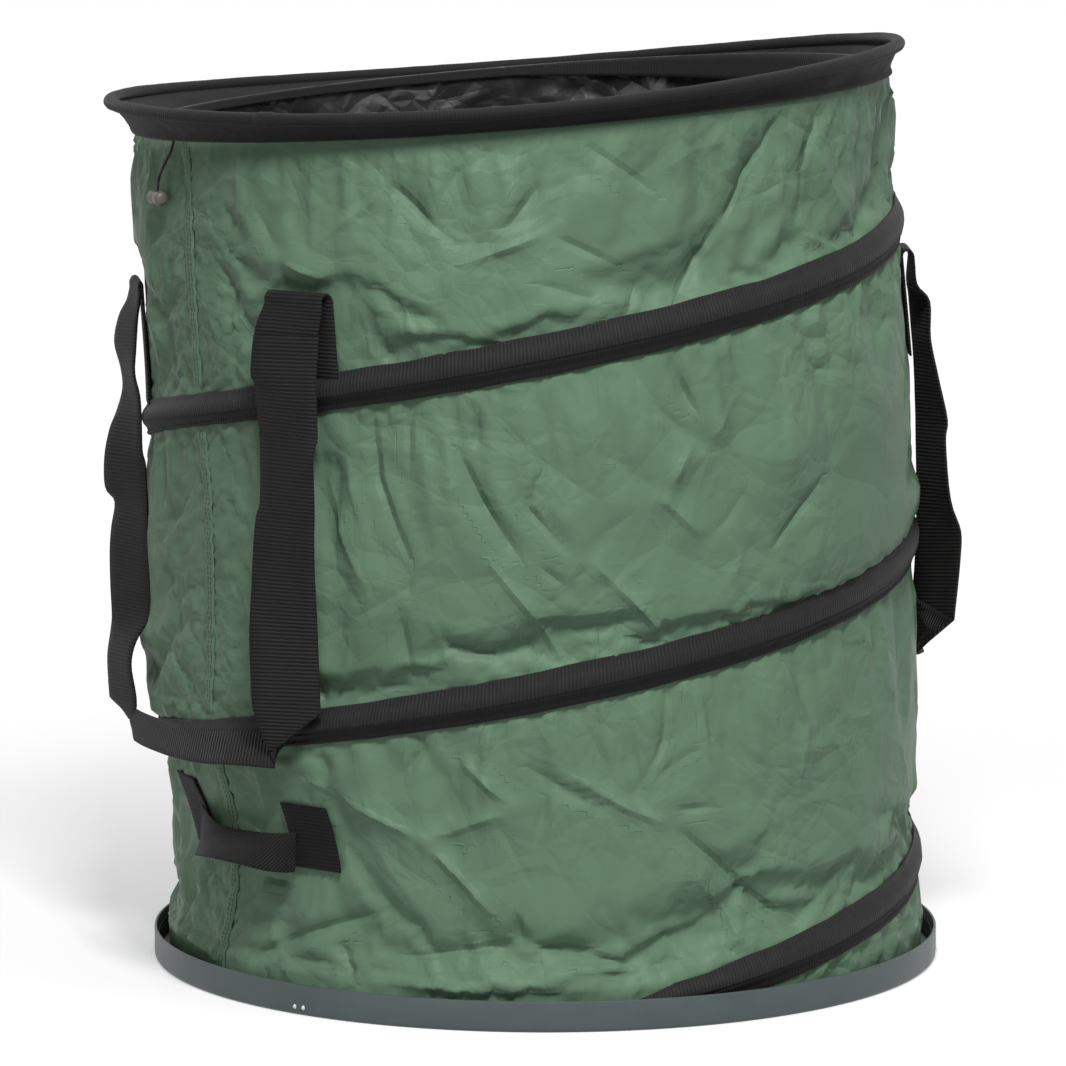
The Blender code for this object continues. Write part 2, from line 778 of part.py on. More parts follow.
def make_grip_patch(name, end, parts, webbing):
    centre = GRIP_ANGLE + end * GRIP_SPREAD
    half = math.degrees(GRIP_PATCH_WIDTH / 2 / WALL_RADIUS)
    angles = [centre - half, centre, centre + half]
    inside = [s[0] * NECK_HEIGHT for s in WALL_SHARES]
    inside = [height for height in inside if GRIP_PATCH_BOTTOM < height < GRIP_PATCH_TOP]
    heights = [GRIP_PATCH_BOTTOM, *inside, GRIP_PATCH_TOP]
    sections = []
    for height in heights:
        sections.append(webbing_section([(height, angle) for angle in angles], tab_off()))
    return loft(name, sections, webbing, parts)


def grip_sewn_off():
    return tab_off() + WEBBING + SEWN_GAP


def make_grip_strap(parts, webbing):
    """The tipping handle's strap, sewn over both patches and bowed out between them."""
    half = math.degrees(GRIP_PATCH_WIDTH / 2 / WALL_RADIUS)
    reach = GRIP_SPREAD + half * (GRIP_SEWN_SHARE - 1 / 2)
    free = GRIP_SPREAD - half
    sections = []
    for i in range(GRIP_STRAP_STEPS + 1):
        angle = GRIP_ANGLE + reach * (2 * i / GRIP_STRAP_STEPS - 1)
        part = min(abs(angle - GRIP_ANGLE) / free, 1)
        bow = GRIP_STRAP_BOW * (1 + math.cos(math.pi * part)) / 2
        rises = (0, GRIP_STRAP_WIDTH / 2, GRIP_STRAP_WIDTH)
        points = [(GRIP_STRAP_TOP - drop, angle) for drop in rises]
        sections.append(webbing_section(points, grip_sewn_off() + bow))
    return loft("tipping_handle_strap", sections, webbing, parts)


def grip_axis_point():
    """The middle of the straight line along the strap's top edge, from patch to patch.

    The line runs through the patches' near edges, so that nothing sewn over them swings inwards.
    """
    reach = GRIP_SPREAD - math.degrees(GRIP_PATCH_WIDTH / 2 / WALL_RADIUS)
    ends = [wall_point(GRIP_STRAP_TOP, GRIP_ANGLE + s * reach, grip_sewn_off()) for s in (-1, 1)]
    return (ends[0] + ends[1]) / 2


def smooth_route(knots, spacing):
    """Points along a smooth curve through the route's knots."""
    knots = [Vector(knot) for knot in knots]
    padded = [2 * knots[0] - knots[1], *knots, 2 * knots[-1] - knots[-2]]
    points = [knots[0]]
    for a, b, c, d in zip(padded, padded[1:], padded[2:], padded[3:]):
        count = max(1, round((c - b).length / spacing))
        for i in range(1, count + 1):
            t = i / count
            straight = 2 * b + (c - a) * t
            bend = (2 * a - 5 * b + 4 * c - d) * t * t + (3 * b - a - 3 * c + d) * t * t * t
            points.append((straight + bend) / 2)
    return points


def make_toggle(parts, cord_material, plastic):
    cord = wire("toggle_cord", smooth_route(CORD_ROUTE, CORD_SPACING), CORD_RADIUS, cord_material, parts)
    end = Vector(CORD_ROUTE[-1])
    half = TOGGLE_LENGTH / 2
    waist = TOGGLE_RADIUS * TOGGLE_WAIST_SHARE
    upper = [(TOGGLE_RADIUS * radius, half * height) for radius, height in TOGGLE_END_SHARES]
    profile = upper + [(radius, -height) for radius, height in reversed(upper)]
    toggle = baked(turned("toggle", profile, plastic, parts, 2 * TUBE_SIDES))
    angle = math.degrees(math.atan2(end.y - LEAN_Y * RIM_LEAN, end.x - LEAN_X * RIM_LEAN))
    centre = end - Vector((0, 0, waist + GAP))
    turn = Matrix.Rotation(math.radians(angle), 4, "Z") @ Matrix.Rotation(math.radians(90), 4, "X")
    toggle.data.transform(Matrix.Translation(centre) @ turn)
    smooth(toggle.data, 60)
    return cord, toggle


def build():
    clear_scene()
    parts = new_collection("pop_up_leaf_bag")
    cutters = new_collection("cutters")
    joints = new_collection("joint_frames")
    cloth = finish("Green coated cloth", (0.075, 0.135, 0.095), 0.6)
    tape = finish("Black binding tape", (0.018, 0.018, 0.019), 0.75)
    webbing = finish("Black webbing", (0.022, 0.022, 0.023), 0.8)
    plastic = finish("Grey tray plastic", (0.09, 0.1, 0.105), 0.45)
    steel = finish("Spring steel", (0.55, 0.55, 0.56), 0.35, 1.0)
    toggle_plastic = finish("Toggle plastic", (0.12, 0.11, 0.1), 0.5)

    make_tray(parts, cutters, plastic)
    make_hem_tape(parts, cutters, tape)
    make_rivets(parts, steel)
    make_wall(parts, cloth)
    make_floor(parts, cloth)
    make_bound_hoop(
        ("base_piping", "base_hoop", "base_ferrule"), piping_point, PIPING_RADIUS, PIPING_BORE,
        (0, BASE_FERRULE_STATION), (tape, steel), parts)
    make_spiral(parts, tape, steel)
    make_seam(parts, cloth)

    rim_frame = joint_frame("rim_joint", (0, 0, NECK_HEIGHT), joints)
    rim_pieces = make_bound_hoop(
        ("rim_binding", "rim_hoop", "rim_ferrule"), rim_point, LIP_RADIUS, LIP_BORE,
        (LIP_JOINT_STATION, RIM_FERRULE_STATION), (tape, steel), parts)
    carry(rim_frame, *rim_pieces, make_collar(parts, tape))
    carry(rim_frame, *make_toggle(parts, tape, toggle_plastic))

    for side, middle_angle in (("left", 180), ("right", 0)):
        axis_point = fold_axis_point(middle_angle)
        tab_frame = joint_frame(f"{side}_tabs_joint", axis_point, joints)
        for word, end in (("front", 1), ("back", -1)):
            facing = end if middle_angle == 180 else -end
            tab = make_handle_tab(f"{side}_handle_tab_{word}", middle_angle, facing, parts, webbing)
            carry(tab_frame, tab)
        loop_frame = joint_frame(f"{side}_handle_joint", axis_point, joints, tab_frame)
        carry(loop_frame, make_handle_loop(f"{side}_handle_loop", middle_angle, parts, webbing))

    patch_frame = joint_frame("tipping_patches_joint", grip_axis_point(), joints)
    for word, end in (("front", 1), ("back", -1)):
        carry(patch_frame, make_grip_patch(f"tipping_handle_patch_{word}", end, parts, webbing))
    strap_frame = joint_frame("tipping_handle_joint", grip_axis_point(), joints, patch_frame)
    carry(strap_frame, make_grip_strap(parts, webbing))


build()
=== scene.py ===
import math
import random

import bmesh
import bpy
from bpy.props import FloatProperty, FloatVectorProperty, IntProperty, PointerProperty
from mathutils import Matrix, Vector, noise
from mathutils.bvhtree import BVHTree


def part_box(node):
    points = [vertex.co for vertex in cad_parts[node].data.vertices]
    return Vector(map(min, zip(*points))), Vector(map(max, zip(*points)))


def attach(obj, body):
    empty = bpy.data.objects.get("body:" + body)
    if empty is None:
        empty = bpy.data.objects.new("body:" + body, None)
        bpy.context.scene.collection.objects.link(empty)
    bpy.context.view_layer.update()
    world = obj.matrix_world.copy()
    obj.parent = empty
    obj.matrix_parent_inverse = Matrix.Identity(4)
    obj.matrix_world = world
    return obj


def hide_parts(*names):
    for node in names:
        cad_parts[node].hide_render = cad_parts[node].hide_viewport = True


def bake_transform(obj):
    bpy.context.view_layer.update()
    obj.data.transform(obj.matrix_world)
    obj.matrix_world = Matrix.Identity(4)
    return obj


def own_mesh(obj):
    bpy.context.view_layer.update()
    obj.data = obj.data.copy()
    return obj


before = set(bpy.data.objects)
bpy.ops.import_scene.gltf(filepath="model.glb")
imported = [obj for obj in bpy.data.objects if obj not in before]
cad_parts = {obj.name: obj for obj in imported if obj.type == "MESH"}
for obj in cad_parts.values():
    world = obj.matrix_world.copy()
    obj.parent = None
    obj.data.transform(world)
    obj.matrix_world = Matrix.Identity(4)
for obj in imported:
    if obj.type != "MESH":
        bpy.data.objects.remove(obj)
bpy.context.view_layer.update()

bl_info = {
    "name": "Pop-up leaf bag",
    "version": (1, 0, 0),
    "blender": (4, 5, 0),
    "location": "3D View > Sidebar > Leaf bag",
    "description": "Builds a pop-up garden leaf bag: cloth drum, sprung spiral, tray and handles",
    "category": "Mesh",
}

# The drum's form, as in the part's source: height, radius and lean as shares of the sizes in DrumSizes.
WALL_SHARES = (
    (0.000, 1.002, 0.00), (0.048, 1.002, 0.00), (0.080, 0.989, 0.00), (0.120, 0.978, 0.00),
    (0.190, 0.971, 0.00), (0.230, 0.974, 0.12), (0.300, 0.995, 0.33), (0.405, 0.989, 0.33),
    (0.510, 1.000, 0.31), (0.690, 1.000, 0.40), (0.790, 0.997, 0.57), (0.895, 0.988, 0.75),
    (1.000, 0.986, 0.82),
)
LEAN_ANGLE = 152
RIM_LOW_ANGLE = 140.6
TILT_START_SHARE = 0.79
WALL_BOTTOM = 0.0028
# How far the cloth reaches up into the collar above the neck.
CLOTH_OVER_NECK = 0.0055
SEAM_ANGLE = 185
SPIRAL_START, SPIRAL_END, SPIRAL_STEP = -459, 450, 1.5
# The casing's low end sinks behind the tray before its start, and narrows towards it from above.
SINK_BEFORE, SINK_AFTER = 12, 24
SINK_HEIGHT = 0.004
SINK_SHARE, NARROW_SHARE = 0.55, 0.55
# Where the cloth comes out from under the casing, from its middle line, and the puckers' length along it.
CASING_EDGE = 0.0135
PUCKER_LENGTH = 0.0286
# The spring wire's middle line stands this far off the cloth.
WIRE_OFF, WIRE_RADIUS = 0.0039, 0.0015
LIP_JOINT_ANGLE, LIP_JOINT_WIDTH = 205.6, 3.2
COLLAR_RISE = 0.03
HANDLE_SPREAD = 26.75
GRIP_ANGLE = 190.5
CORD_ROUTE = (
    (-0.29275, 0.00192, 0.60265),
    (-0.29358, 0.00555, 0.59450),
    (-0.29522, 0.01301, 0.58500),
    (-0.29618, 0.01960, 0.57550),
    (-0.29655, 0.02139, 0.56620),
)
UP = Vector((0, 0, 1))
# Creases: depth (below 0 a valley) and half width in millimetres, then angle and height along each.
CREASE_ROWS = (
    (-5, 15, ((211.3, 0.43), (210.8, 0.33), (211.5, 0.225))),
    (4, 15, ((148, 0.24), (163, 0.236), (178, 0.233))),
    (-4.5, 9, ((260.9, 0.14), (266, 0.12), (270.3, 0.103), (277, 0.079), (284.5, 0.054))),
    (-3.5, 7, ((240.1, 0.181), (245.6, 0.166), (250.9, 0.155))),
    (3, 8, ((244, 0.179), (254.4, 0.153), (260.5, 0.14))),
    (-2.5, 6, ((260.8, 0.15), (267.1, 0.151))),
    (-4, 6, ((237.9, 0.078), (238.5, 0.06))),
    (-4, 8, ((238.5, 0.06), (246.9, 0.053), (256.8, 0.039))),
    (-3, 7, ((256.8, 0.039), (260.9, 0.044))),
    (-3, 8, ((222.2, 0.047), (230.8, 0.053), (238.5, 0.06))),
    (2, 6, ((255, 0.023), (257.2, 0.042))),
    (-2.5, 8, ((266.3, 0.24), (267.6, 0.198), (270.9, 0.184))),
    (2.5, 10, ((281, 0.241), (284.4, 0.199), (283.1, 0.169))),
    (2, 9, ((289, 0.196), (295.5, 0.151))),
    (3, 8, ((249.2, 0.323), (254.5, 0.298), (260.5, 0.267))),
    (3, 9, ((234.7, 0.323), (240.3, 0.29), (244.6, 0.257))),
    (-2, 8, ((241.4, 0.323), (247, 0.301))),
    (-4.5, 14, ((281.7, 0.625), (276.2, 0.594), (271.3, 0.564), (266.2, 0.532), (262.1, 0.504))),
    (-2.5, 12, ((290.6, 0.625), (286.1, 0.585), (286.8, 0.556))),
    (3.5, 26, ((279.7, 0.473), (279.2, 0.407), (277.7, 0.355))),
    (-2.5, 8, ((242, 0.589), (237, 0.557))),
    (-2, 10, ((242.5, 0.551), (251.8, 0.53))),
    (-2, 9, ((241.7, 0.516), (249.3, 0.506))),
    (-2, 6, ((255, 0.509), (253.9, 0.493))),
    (-2.5, 8, ((260.9, 0.457), (264.1, 0.428))),
    (-3, 9, ((286.6, 0.372), (281.6, 0.35), (277, 0.328))),
    (2, 10, ((263.5, 0.405), (259.1, 0.367), (265.4, 0.338))),
    (-2.5, 8, ((240.9, 0.383), (239.5, 0.364), (245.4, 0.333))),
    (2.5, 8, ((200.4, 0.532), (213.1, 0.511))),
    (-2.5, 8, ((213.2, 0.517), (215.5, 0.48))),
    (-4, 9, ((216.8, 0.427), (217.7, 0.382), (220.1, 0.352), (222.6, 0.328))),
    (-2, 8, ((222.4, 0.432), (222.5, 0.392))),
    (-3.5, 9, ((229.6, 0.401), (232.9, 0.369), (238.3, 0.33))),
    (-2, 6, ((232.5, 0.423), (232, 0.405))),
    (-2.5, 10, ((188.4, 0.526), (194.4, 0.496), (198.2, 0.47))),
    (4, 10, ((206.9, 0.162), (215.9, 0.146), (224.4, 0.13))),
    (4, 10, ((224.4, 0.13), (229.1, 0.107), (234, 0.082))),
    (3, 9, ((224.4, 0.13), (233.9, 0.148), (237.7, 0.154))),
    (3, 8, ((237.7, 0.154), (234, 0.169), (230.2, 0.185))),
    (-4.5, 8, ((192.9, 0.031), (202.4, 0.053), (214.4, 0.072))),
    (-3, 6, ((223.3, 0.204), (224, 0.193), (222.2, 0.181))),
    (3.5, 7, ((161.4, 0.034), (176.5, 0.03), (185.6, 0.018))),
    (-3, 6, ((177.2, 0.094), (183.3, 0.076))),
    (-2.5, 7, ((193.3, 0.089), (199.6, 0.087))),
    (-2, 8, ((221.3, 0.288), (222.8, 0.246))),
    (-2.5, 8, ((209.2, 0.051), (212.8, 0.028))),
    (-4, 7, ((180.5, 0.606), (181, 0.575), (183.1, 0.535))),
    (-2, 9, ((216.1, 0.599), (228.1, 0.549))),
    (2, 9, ((230.9, 0.531), (242.7, 0.552))),
    (-2, 10, ((248.8, 0.608), (257.6, 0.58))),
    (2.5, 10, ((212, 0.405), (214.2, 0.365))),
    (-2, 8, ((171.5, 0.243), (180.7, 0.207))),
)
# How much deeper the creases are cut than they are listed, and how many small ones and gathers join them.
CREASE_GAIN = 1.5
SMALL_CREASES = 260
GATHERS = 110
BIN_HEIGHT = 0.02
# Creases wider than this fold softly, with no sharp line.
SOFT_WIDTH = 0.0145
# The cloth's settling: frames run, and how far a point may move in and out.
SETTLE_FRAMES = 16
INWARDS_CAP = 0.011
OUTWARDS_CAP = 0.006
# The mesh columns stand closest together at this angle, by this many degrees of shift either side.
FINE_ANGLE = 242
FINE_SHIFT = 22
# Where webbing is sewn to the cloth: middle angle, half width in degrees, low and high end.
SEWN_PLACES = (
    (157.75, 5.2, 0.43, 0.503), (209.35, 5.2, 0.4, 0.503), (333.25, 5.2, 0.437, 0.511),
    (26.75, 5.2, 0.437, 0.511), (176.0, 4.6, 0.1, 0.147), (205.0, 4.6, 0.1, 0.147),
)


# Sizes and colours that a user would change.


def metres(name, text, value):
    return FloatProperty(name=name, description=text, default=value, unit="LENGTH")


def colour_of(name, text, value):
    return FloatVectorProperty(name=name, description=text, default=value, subtype="COLOR")


class DrumSizes(bpy.types.PropertyGroup):
    neck_height: metres("Neck height", "Height of the cloth's top edge", 0.621)
    wall_radius: metres("Drum radius", "Radius of the cloth drum", 0.2735)
    rim_lean: metres("Rim lean", "How far the rim stands off to one side", 0.0297)
    neck_tilt: metres("Neck tilt", "Rise and fall of the neck", 0.0208)
    spiral_pitch: metres("Spiral pitch", "Rise of the spiral in one turn", 0.231)
    spiral_tilt: metres("Spiral tilt", "Rise and fall of each turn", 0.0165)
    spiral_start: metres("Spiral start", "Height of the spiral's low end", 0.0162)
    casing_height: metres("Casing width", "Width of the tape over the spiral", 0.0275)
    casing_depth: metres("Casing depth", "How far the tape stands off over the wire", 0.0066)
    crumple: metres("Crumple", "Depth of the cloth's broad folds", 0.0034)
    gather: metres("Gather", "Depth of the puckers along the tape", 0.0016)
    cloth: metres("Cloth", "Thickness of the coated cloth", 0.0011)
    around: IntProperty(name="Columns", description="Mesh columns round the drum", default=352)
    rows: IntProperty(name="Rows", description="Mesh rows up the drum", default=138)


class RimSizes(bpy.types.PropertyGroup):
    height: metres("Rim height", "Mean height of the rim's hoop", 0.6357)
    radius: metres("Rim radius", "Radius of the rim's hoop", 0.2825)
    tilt: metres("Rim tilt", "Rise and fall of the rim", 0.0212)
    wave: metres("Rim wave", "Saddle wave of the rim", 0.00625)
    lip_radius: metres("Lip radius", "Radius of the rolled lip", 0.0046)


class TraySizes(bpy.types.PropertyGroup):
    radius: metres("Tray radius", "Outer radius", 0.285)
    height: metres("Tray height", "Height of its wall", 0.022)
    wall: metres("Tray wall", "Wall thickness", 0.002)
    floor: metres("Tray floor", "Floor thickness", 0.0025)
    corner: metres("Tray corner", "Outer corner radius", 0.003)


class HandleSizes(bpy.types.PropertyGroup):
    webbing_width: metres("Webbing width", "Width of the carry webbing", 0.048)
    webbing: metres("Webbing thickness", "Thickness of the webbing", 0.0018)
    fold_height: metres("Fold height", "Mean height of the carry handles' folds", 0.506)
    level_difference: metres("Level difference", "How much higher the far handle is", 0.008)
    grip_width: metres("Grip width", "Width of the tipping handle's strap", 0.028)
    patch_width: metres("Patch width", "Width of the tipping handle's sewn ends", 0.042)


class BagColours(bpy.types.PropertyGroup):
    cloth: colour_of("Cloth", "Green coated cloth", (0.122, 0.205, 0.133))
    lining: colour_of("Coating", "Black coating inside", (0.018, 0.018, 0.018))
    tape: colour_of("Tape", "Black binding tape", (0.0095, 0.0095, 0.0095))
    webbing: colour_of("Webbing", "Black handle webbing", (0.0095, 0.0093, 0.009))
    tray: colour_of("Tray", "Grey tray plastic", (0.056, 0.075, 0.076))
    toggle: colour_of("Toggle", "Grey-brown toggle plastic", (0.13, 0.115, 0.1))
    steel: colour_of("Steel", "Wire and rivets", (0.6, 0.6, 0.61))


class LeafBag(bpy.types.PropertyGroup):
    drum: PointerProperty(type=DrumSizes)
    rim: PointerProperty(type=RimSizes)
    tray: PointerProperty(type=TraySizes)
    handles: PointerProperty(type=HandleSizes)
    colours: PointerProperty(type=BagColours)


def bag():
    return bpy.context.scene.leaf_bag


# The drum's form.


def cosine(angle):
    return math.cos(math.radians(angle))


def sine(angle):
    return math.sin(math.radians(angle))


def half_turn(angle):
    """The same angle between -180 and 180 degrees."""
    return (angle + 180) % 360 - 180


def direction(angle):
    return Vector((cosine(angle), sine(angle), 0))


def tangent(angle):
    return Vector((-sine(angle), cosine(angle), 0))


def eased(low, high, value):
    """0 below low, 1 above high, and a smooth step between them."""
    share = min(max((value - low) / (high - low), 0), 1)
    return share * share * (3 - 2 * share)


def shares(steps):
    """Even shares from 0 to 1."""
    return [i / steps for i in range(steps + 1)]


def rows_between(rows, share):
    """Values straight between the rows of a table whose first column is the share."""
    share = min(max(share, rows[0][0]), rows[-1][0])
    for low, high in zip(rows, rows[1:]):
        if share <= high[0]:
            part = (share - low[0]) / (high[0] - low[0])
            return [a + part * (b - a) for a, b in zip(low[1:], high[1:])]
    return list(rows[-1][1:])


def wall_at(level):
    """Radius and lean of the drum at a level, with the table's corners rounded off."""
    drum = bag().drum
    found = [rows_between(WALL_SHARES, level / drum.neck_height + step) for step in (-0.02, 0, 0.02)]
    radius = sum(row[0] for row in found) / 3
    lean = sum(row[1] for row in found) / 3
    return radius * drum.wall_radius, lean * drum.rim_lean


def neck_shift(level, angle):
    drum = bag().drum
    weight = max(0, (level / drum.neck_height - TILT_START_SHARE) / (1 - TILT_START_SHARE))
    return -drum.neck_tilt * weight * cosine(angle - LEAN_ANGLE)


def level_point(level, angle, off):
    radius, lean = wall_at(level)
    point = direction(LEAN_ANGLE) * lean + direction(angle) * (radius + off)
    point.z = level + neck_shift(level, angle)
    return point


def wall_point(height, angle, off):
    """A point that stands off the smooth drum at a true height."""
    point = level_point(height - neck_shift(height, angle), angle, off)
    point.z = height
    return point


def spiral_height(angle):
    drum = bag().drum
    tilt = drum.spiral_tilt * cosine(angle - LEAN_ANGLE)
    return drum.spiral_start + drum.spiral_pitch * (angle - SPIRAL_START) / 360 - tilt


def spiral_offset(angle, height):
    """Signed distance up from the nearest pass of the spiral."""
    pitch = bag().drum.spiral_pitch
    first = spiral_height(SPIRAL_START + (angle - SPIRAL_START) % 360)
    last = spiral_height(SPIRAL_END - (SPIRAL_END - angle) % 360)
    near = first + pitch * round((height - first) / pitch)
    return height - min(max(near, first), last)


def crease_rows():
    """The listed creases, then small ones all over and gathers along the spiral by a fixed recipe."""
    pick = random.Random(11)
    degrees = math.degrees(1 / bag().drum.wall_radius)
    rows = [(depth * CREASE_GAIN, width, line) for depth, width, line in CREASE_ROWS]
    for _ in range(SMALL_CREASES):
        angle, height = pick.uniform(0, 360), pick.uniform(0.03, 0.6)
        if pick.random() < by_seam(angle):
            continue
        heading = pick.choice((-1, 1)) * pick.uniform(0.3, 1.3)
        length = pick.uniform(0.012, 0.045)
        line = [(angle, height)]
        for turn in (heading, heading + pick.uniform(-0.6, 0.6)):
            angle += degrees * length * math.cos(turn)
            height += length * math.sin(turn)
            line.append((angle, height))
        rows.append((pick.choice((-1, 1)) * pick.uniform(0.8, 2.2), pick.uniform(3.5, 6.5), line))
    for _ in range(GATHERS):
        angle = pick.uniform(SPIRAL_START + 40, SPIRAL_END - 10)
        way = pick.choice((-1, -1, 1))
        height = spiral_height(angle) + way * CASING_EDGE
        foot = (angle + pick.uniform(-2.5, 2.5), height + way * pick.uniform(0.012, 0.034))
        rows.append((pick.choice((-1, 1)) * pick.uniform(1, 2.4), pick.uniform(3.5, 6), [(angle, height), foot]))
    return rows


def binned_creases():
    """Crease rows (millimetres, degrees and metres) laid out flat and sorted by height."""
    bins = {}
    radius = bag().drum.wall_radius
    for depth, width, line in crease_rows():
        first = line[0][0]
        flat = [Vector((math.radians(angle - first) * radius, height)) for angle, height in line]
        total = sum((b - a).length for a, b in zip(flat, flat[1:]))
        runs = []
        done = 0.0
        for a, b in zip(flat, flat[1:]):
            step = (b - a).length / total
            runs.append((a, b - a, done, step))
            done += step
        reach = 2.6 * width / 1000
        alongs = [point.x for point in flat]
        low = min(point.y for point in flat) - reach
        high = max(point.y for point in flat) + reach
        fold = (depth / 1000, width / 1000, first, low, high, min(alongs) - reach, max(alongs) + reach, runs)
        for index in range(int(low / BIN_HEIGHT), int(high / BIN_HEIGHT) + 1):
            bins.setdefault(index, []).append(fold)
    return bins


def crease_at(bins, angle, height):
    """Depth of the creases at a point, its signed gap from the nearest line and that line's weight."""
    radius = bag().drum.wall_radius
    total, gap, weight, other = 0.0, 0.05, 0.0, 0.0
    for depth, width, first, low, high, left, right, runs in bins.get(int(height / BIN_HEIGHT), ()):
        if not low < height < high:
            continue
        along = math.radians(half_turn(angle - first)) * radius
        if not left < along < right:
            continue
        place = Vector((along, height))
        near, taper, side = 1.0, 0.0, 1
        for a, run, done, step in runs:
            share = min(max((place - a).dot(run) / run.length_squared, 0), 1)
            off = place - a - run * share
            if off.length < near:
                near = off.length
                taper = math.sin(math.pi * (0.12 + 0.76 * (done + step * share)))
                side = 1 if run.x * off.y > run.y * off.x else -1
        ratio = near / width
        if width > SOFT_WIDTH:
            total += depth * math.exp(-ratio * ratio) * taper
            continue
        total += depth * math.exp(-ratio * (1 + ratio)) * taper
        strength = taper * min(abs(depth) / 0.004, 1) * max(0, 1 - ratio / 1.8)
        if strength > abs(weight):
            other = abs(weight)
            gap = near * side
            weight = math.copysign(strength, depth)
        else:
            other = max(other, strength)
    return total, gap, math.copysign(max(abs(weight) - 2 * other, 0), weight)


def by_seam(angle):
    """1 on the side seam, 0 beyond its stiffened strip."""
    return 1 - eased(1.2, 15, abs(half_turn(angle - SEAM_ANGLE)))


def crumple(angle, height):
    """How far a point of the cloth stands off the smooth drum: broad folds, sharp creases and gathers."""
    drum = bag().drum
    place = direction(angle) * drum.wall_radius + UP * height
    offset = spiral_offset(angle, height)
    clear = eased(0.013, 0.05, abs(offset))
    clear *= eased(0, 0.03, drum.neck_height - 0.004 - height + neck_shift(height, angle))
    clear *= eased(0.012, 0.05, height) * (1 - 0.7 * by_seam(angle))
    warp = noise.noise_vector(place * 7 + Vector((4, 2, 9)))
    bent = place + warp * 0.035
    broad = noise.noise(Vector((bent.x * 9, bent.y * 9, bent.z * 6)))
    ridge = 0.42 - abs(noise.noise(Vector((bent.x * 15, bent.y * 15, bent.z * 13)) + Vector((7, 1, 3))))
    fine = 0.35 - abs(noise.noise(place * 33 + warp * 1.4))
    folds = (0.9 * broad + 0.85 * ridge + 0.28 * fine) * drum.crumple * clear
    reach = -offset if offset < 0 else offset * 1.8
    beside = eased(0.0125, 0.02, abs(offset)) * math.exp(-max(reach - 0.014, 0) / 0.02)
    along = math.radians(angle) * drum.wall_radius
    patch = 0.55 + 0.8 * noise.noise(place * 12 + Vector((1, 8, 5)))
    phase = 6 * noise.noise(place * 6 + Vector((3, 3, 1))) + 55 * offset
    pucker = math.sin(2 * math.pi * along / PUCKER_LENGTH + phase) * drum.gather * beside * patch
    return folds + pucker


def cloth_point(level, angle):
    return level_point(level, angle, crumple(angle, level + neck_shift(level, angle)))


def held_share(angle, height):
    """1 where the cloth is sewn to tape, webbing or the hem, and 0 where it hangs free."""
    neck = bag().drum.neck_height + neck_shift(height, angle)
    sewn, hemmed = eased(CASING_EDGE, 0.017, abs(spiral_offset(angle, height))), eased(0.018, 0.028, height)
    held = max(1 - sewn, 1 - hemmed)
    held = max(held, eased(neck - 0.014, neck - 0.006, height), 0.5 * by_seam(angle))
    for middle, half, low, high in SEWN_PLACES:
        beside = abs(half_turn(angle - middle)) - half
        above = max(low - height, height - high)
        held = max(held, 1 - eased(0.0, 0.012, max(math.radians(beside) * bag().drum.wall_radius, above)))
    return held


def rim_point(angle):
    rim = bag().rim
    height = rim.height - rim.tilt * cosine(angle - RIM_LOW_ANGLE)
    height += rim.wave * cosine(2 * (angle - LEAN_ANGLE))
    centre = direction(LEAN_ANGLE) * bag().drum.rim_lean
    return centre + direction(angle) * rim.radius + UP * height


# Mesh making.


def polar(point):
    """Angle in degrees, from 0 to 360, and radius of a point round Z."""
    return math.degrees(math.atan2(point.y, point.x)) % 360, math.hypot(point.x, point.y)


def swept(profile, angle, steps, rise=0.0, closed=True):
    """A profile of (radius, height) points spun some degrees round Z, with a rise at each step."""
    bm = bmesh.new()
    verts = [bm.verts.new((radius, 0, height)) for radius, height in profile]
    following = verts[1:] + verts[:1] if closed else verts[1:]
    edges = [bm.edges.new(pair) for pair in zip(verts, following)]
    bmesh.ops.spin(
        bm, geom=verts + edges, axis=(0, 0, 1), cent=(0, 0, 0), dvec=(0, 0, rise),
        angle=math.radians(angle), steps=steps, use_merge=angle == 360)
    bmesh.ops.remove_doubles(bm, verts=bm.verts, dist=0.00001)
    return bm


def spun(profile, steps, closed=False):
    """A profile spun once round Z."""
    bm = swept(profile, 360, steps, closed=closed)
    bmesh.ops.recalc_face_normals(bm, faces=bm.faces)
    return bm


def ring_of(count, radius, middle=0.0, height=0.0):
    """Points round a circle, each as (distance from Z, height)."""
    turns = [2 * math.pi * i / count for i in range(count)]
    return [(middle + radius * math.cos(turn), height + radius * math.sin(turn)) for turn in turns]


def face_outwards(bm):
    """Turns an open sheet round Z so that its faces look away from the axis."""
    bm.normal_update()
    facing = sum(face.normal.dot(face.calc_center_median()) - face.normal.z * face.calc_center_median().z
                 for face in bm.faces)
    if facing < 0:
        bmesh.ops.reverse_faces(bm, faces=bm.faces)


def lay_uv(bm, place):
    """A UV map in metres, from a function that gives each vertex its place."""
    layer = bm.loops.layers.uv.new("cloth")
    for face in bm.faces:
        for loop in face.loops:
            loop[layer].uv = place(loop.vert)


def paint_round(bm, radius, rise=1.0):
    """A UV map in metres: round the drum from the side seam, and up at so many metres to the unit."""
    layer = bm.loops.layers.uv.new("cloth")
    for face in bm.faces:
        angles = [(polar(loop.vert.co)[0] - SEAM_ANGLE) % 360 for loop in face.loops]
        wrapped = max(angles) - min(angles) > 180
        for loop, angle in zip(face.loops, angles):
            if wrapped and angle < 180:
                angle += 360
            loop[layer].uv = (math.radians(angle) * radius, loop.vert.co.z * rise)


